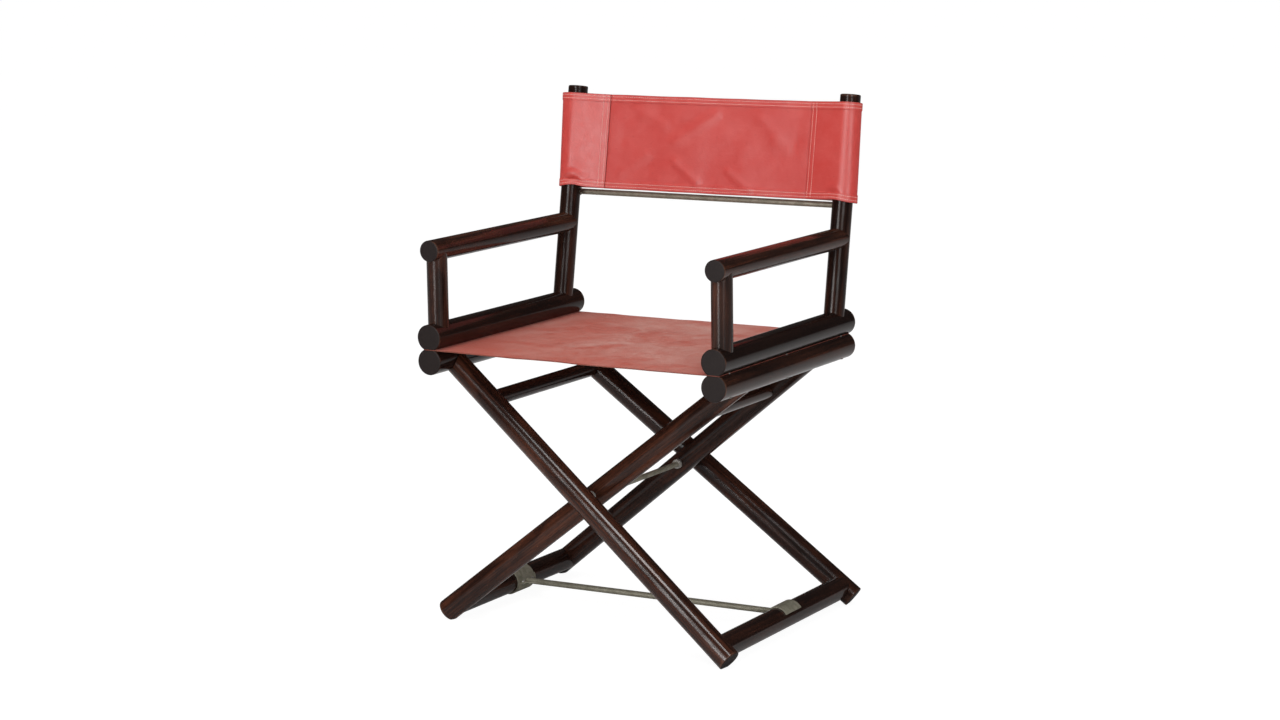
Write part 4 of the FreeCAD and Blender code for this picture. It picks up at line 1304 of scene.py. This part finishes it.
def make_floor():
    """A pale floor that keeps the chair's shadow and reads as white to the camera."""
    half = FLOOR_HALF
    mesh = bpy.data.meshes.new("floor")
    mesh.from_pydata([(-half, -half, 0), (half, -half, 0), (half, half, 0), (-half, half, 0)],
                     [], [(0, 1, 2, 3)])
    floor = bpy.data.objects.new("floor", mesh)
    bpy.context.scene.collection.objects.link(floor)
    material, tree, shader = principled("pale_floor", roughness=0.9, specular_ior_level=0.1)
    tone = mixed(tree, cloud(tree, place_on_piece(tree), 3, 3, 0.5), *FLOOR_TONES)
    tree.links.new(tone, shader.inputs["Base Color"])
    white = add(tree, "ShaderNodeEmission", {"Color": (1, 1, 1, 1), "Strength": FLOOR_WHITE})
    both = add(tree, "ShaderNodeMixShader", {0: ray_share(tree, FLOOR_SEEN, FLOOR_REFLECTED)})
    tree.links.new(shader.outputs[0], both.inputs[1])
    tree.links.new(white.outputs[0], both.inputs[2])
    tree.links.new(both.outputs[0], tree.nodes["Material Output"].inputs["Surface"])
    mesh.materials.append(material)


def make_stage(chair):
    bpy.context.scene.view_settings.view_transform = "Standard"
    make_camera(chair.stage)
    make_lamps()
    make_world(chair.stage)
    make_floor()


# ---------------------------------------------------------------- add-on
class ChairSettings(bpy.types.PropertyGroup):
    leather: PointerProperty(
        type=ChairLeather, name="Leather", description="Sizes and colours of the leather")
    stitching: PointerProperty(
        type=ChairStitching, name="Stitching", description="Sizes and colour of the stitches")
    wood: PointerProperty(
        type=ChairWood, name="Wood", description="Colours of the stained wood")
    metal: PointerProperty(
        type=ChairMetal, name="Metal", description="Colours and sizes of the steel parts")
    stage: PointerProperty(
        type=ChairStage, name="Stage", description="Camera and surround")


class CHAIR_OT_stage(bpy.types.Operator):
    """Make the camera, lamps, surround and floor"""
    bl_idname = "chair.stage"
    bl_label = "Stage"

    def execute(self, context):
        make_stage(context.scene.chair)
        return {"FINISHED"}


class CHAIR_OT_leg_frames(bpy.types.Operator):
    """Dress the crossed legs and their stretchers in stained wood"""
    bl_idname = "chair.leg_frames"
    bl_label = "Leg Frames"

    def execute(self, context):
        make_leg_frames(context.scene.chair)
        return {"FINISHED"}


class CHAIR_OT_side_frames(bpy.types.Operator):
    """Dress the rails, arms and posts of both sides in stained wood"""
    bl_idname = "chair.side_frames"
    bl_label = "Side Frames"

    def execute(self, context):
        make_side_frames(context.scene.chair)
        return {"FINISHED"}


class CHAIR_OT_seat(bpy.types.Operator):
    """Make the leather seat and its clamped edges"""
    bl_idname = "chair.seat"
    bl_label = "Seat Leather"

    def execute(self, context):
        make_seat(context.scene.chair)
        return {"FINISHED"}


class CHAIR_OT_back(bpy.types.Operator):
    """Make the leather back with its two sleeves"""
    bl_idname = "chair.back"
    bl_label = "Back Leather"

    def execute(self, context):
        make_back(context.scene.chair)
        return {"FINISHED"}


class CHAIR_OT_stitching(bpy.types.Operator):
    """Sew the rows of stitches on the back"""
    bl_idname = "chair.stitching"
    bl_label = "Stitching"

    def execute(self, context):
        make_stitching(context.scene.chair)
        return {"FINISHED"}


class CHAIR_OT_steel(bpy.types.Operator):
    """Finish the rods, plates, pins and bushes"""
    bl_idname = "chair.steel"
    bl_label = "Steel Parts"

    def execute(self, context):
        make_steel(context.scene.chair)
        return {"FINISHED"}


class CHAIR_OT_fasteners(bpy.types.Operator):
    """Make the heads of the screws and rivets"""
    bl_idname = "chair.fasteners"
    bl_label = "Screw and Rivet Heads"

    def execute(self, context):
        make_fasteners(context.scene.chair)
        return {"FINISHED"}


OPERATORS = (CHAIR_OT_stage, CHAIR_OT_leg_frames, CHAIR_OT_side_frames, CHAIR_OT_seat,
             CHAIR_OT_back, CHAIR_OT_stitching, CHAIR_OT_steel, CHAIR_OT_fasteners)


class CHAIR_PT_panel(bpy.types.Panel):
    """Lists the chair's pieces in the order in which they are made"""
    bl_idname = "CHAIR_PT_panel"
    bl_label = "Director Chair"
    bl_space_type = "VIEW_3D"
    bl_region_type = "UI"
    bl_category = "Chair"

    def draw(self, context):
        for operator in OPERATORS:
            self.layout.operator(operator.bl_idname)


CLASSES = (ChairLeather, ChairStitching, ChairWood, ChairMetal, ChairStage, ChairSettings,
           *OPERATORS, CHAIR_PT_panel)


def register():
    for made in CLASSES:
        bpy.utils.register_class(made)
    bpy.types.Scene.chair = PointerProperty(type=ChairSettings)


def unregister():
    del bpy.types.Scene.chair
    for made in reversed(CLASSES):
        bpy.utils.unregister_class(made)


def main():
    register()
    bpy.ops.chair.stage()
    bpy.ops.chair.leg_frames()
    bpy.ops.chair.side_frames()
    bpy.ops.chair.seat()
    bpy.ops.chair.back()
    bpy.ops.chair.stitching()
    bpy.ops.chair.steel()
    bpy.ops.chair.fasteners()


if __name__ == "__main__":
    main()
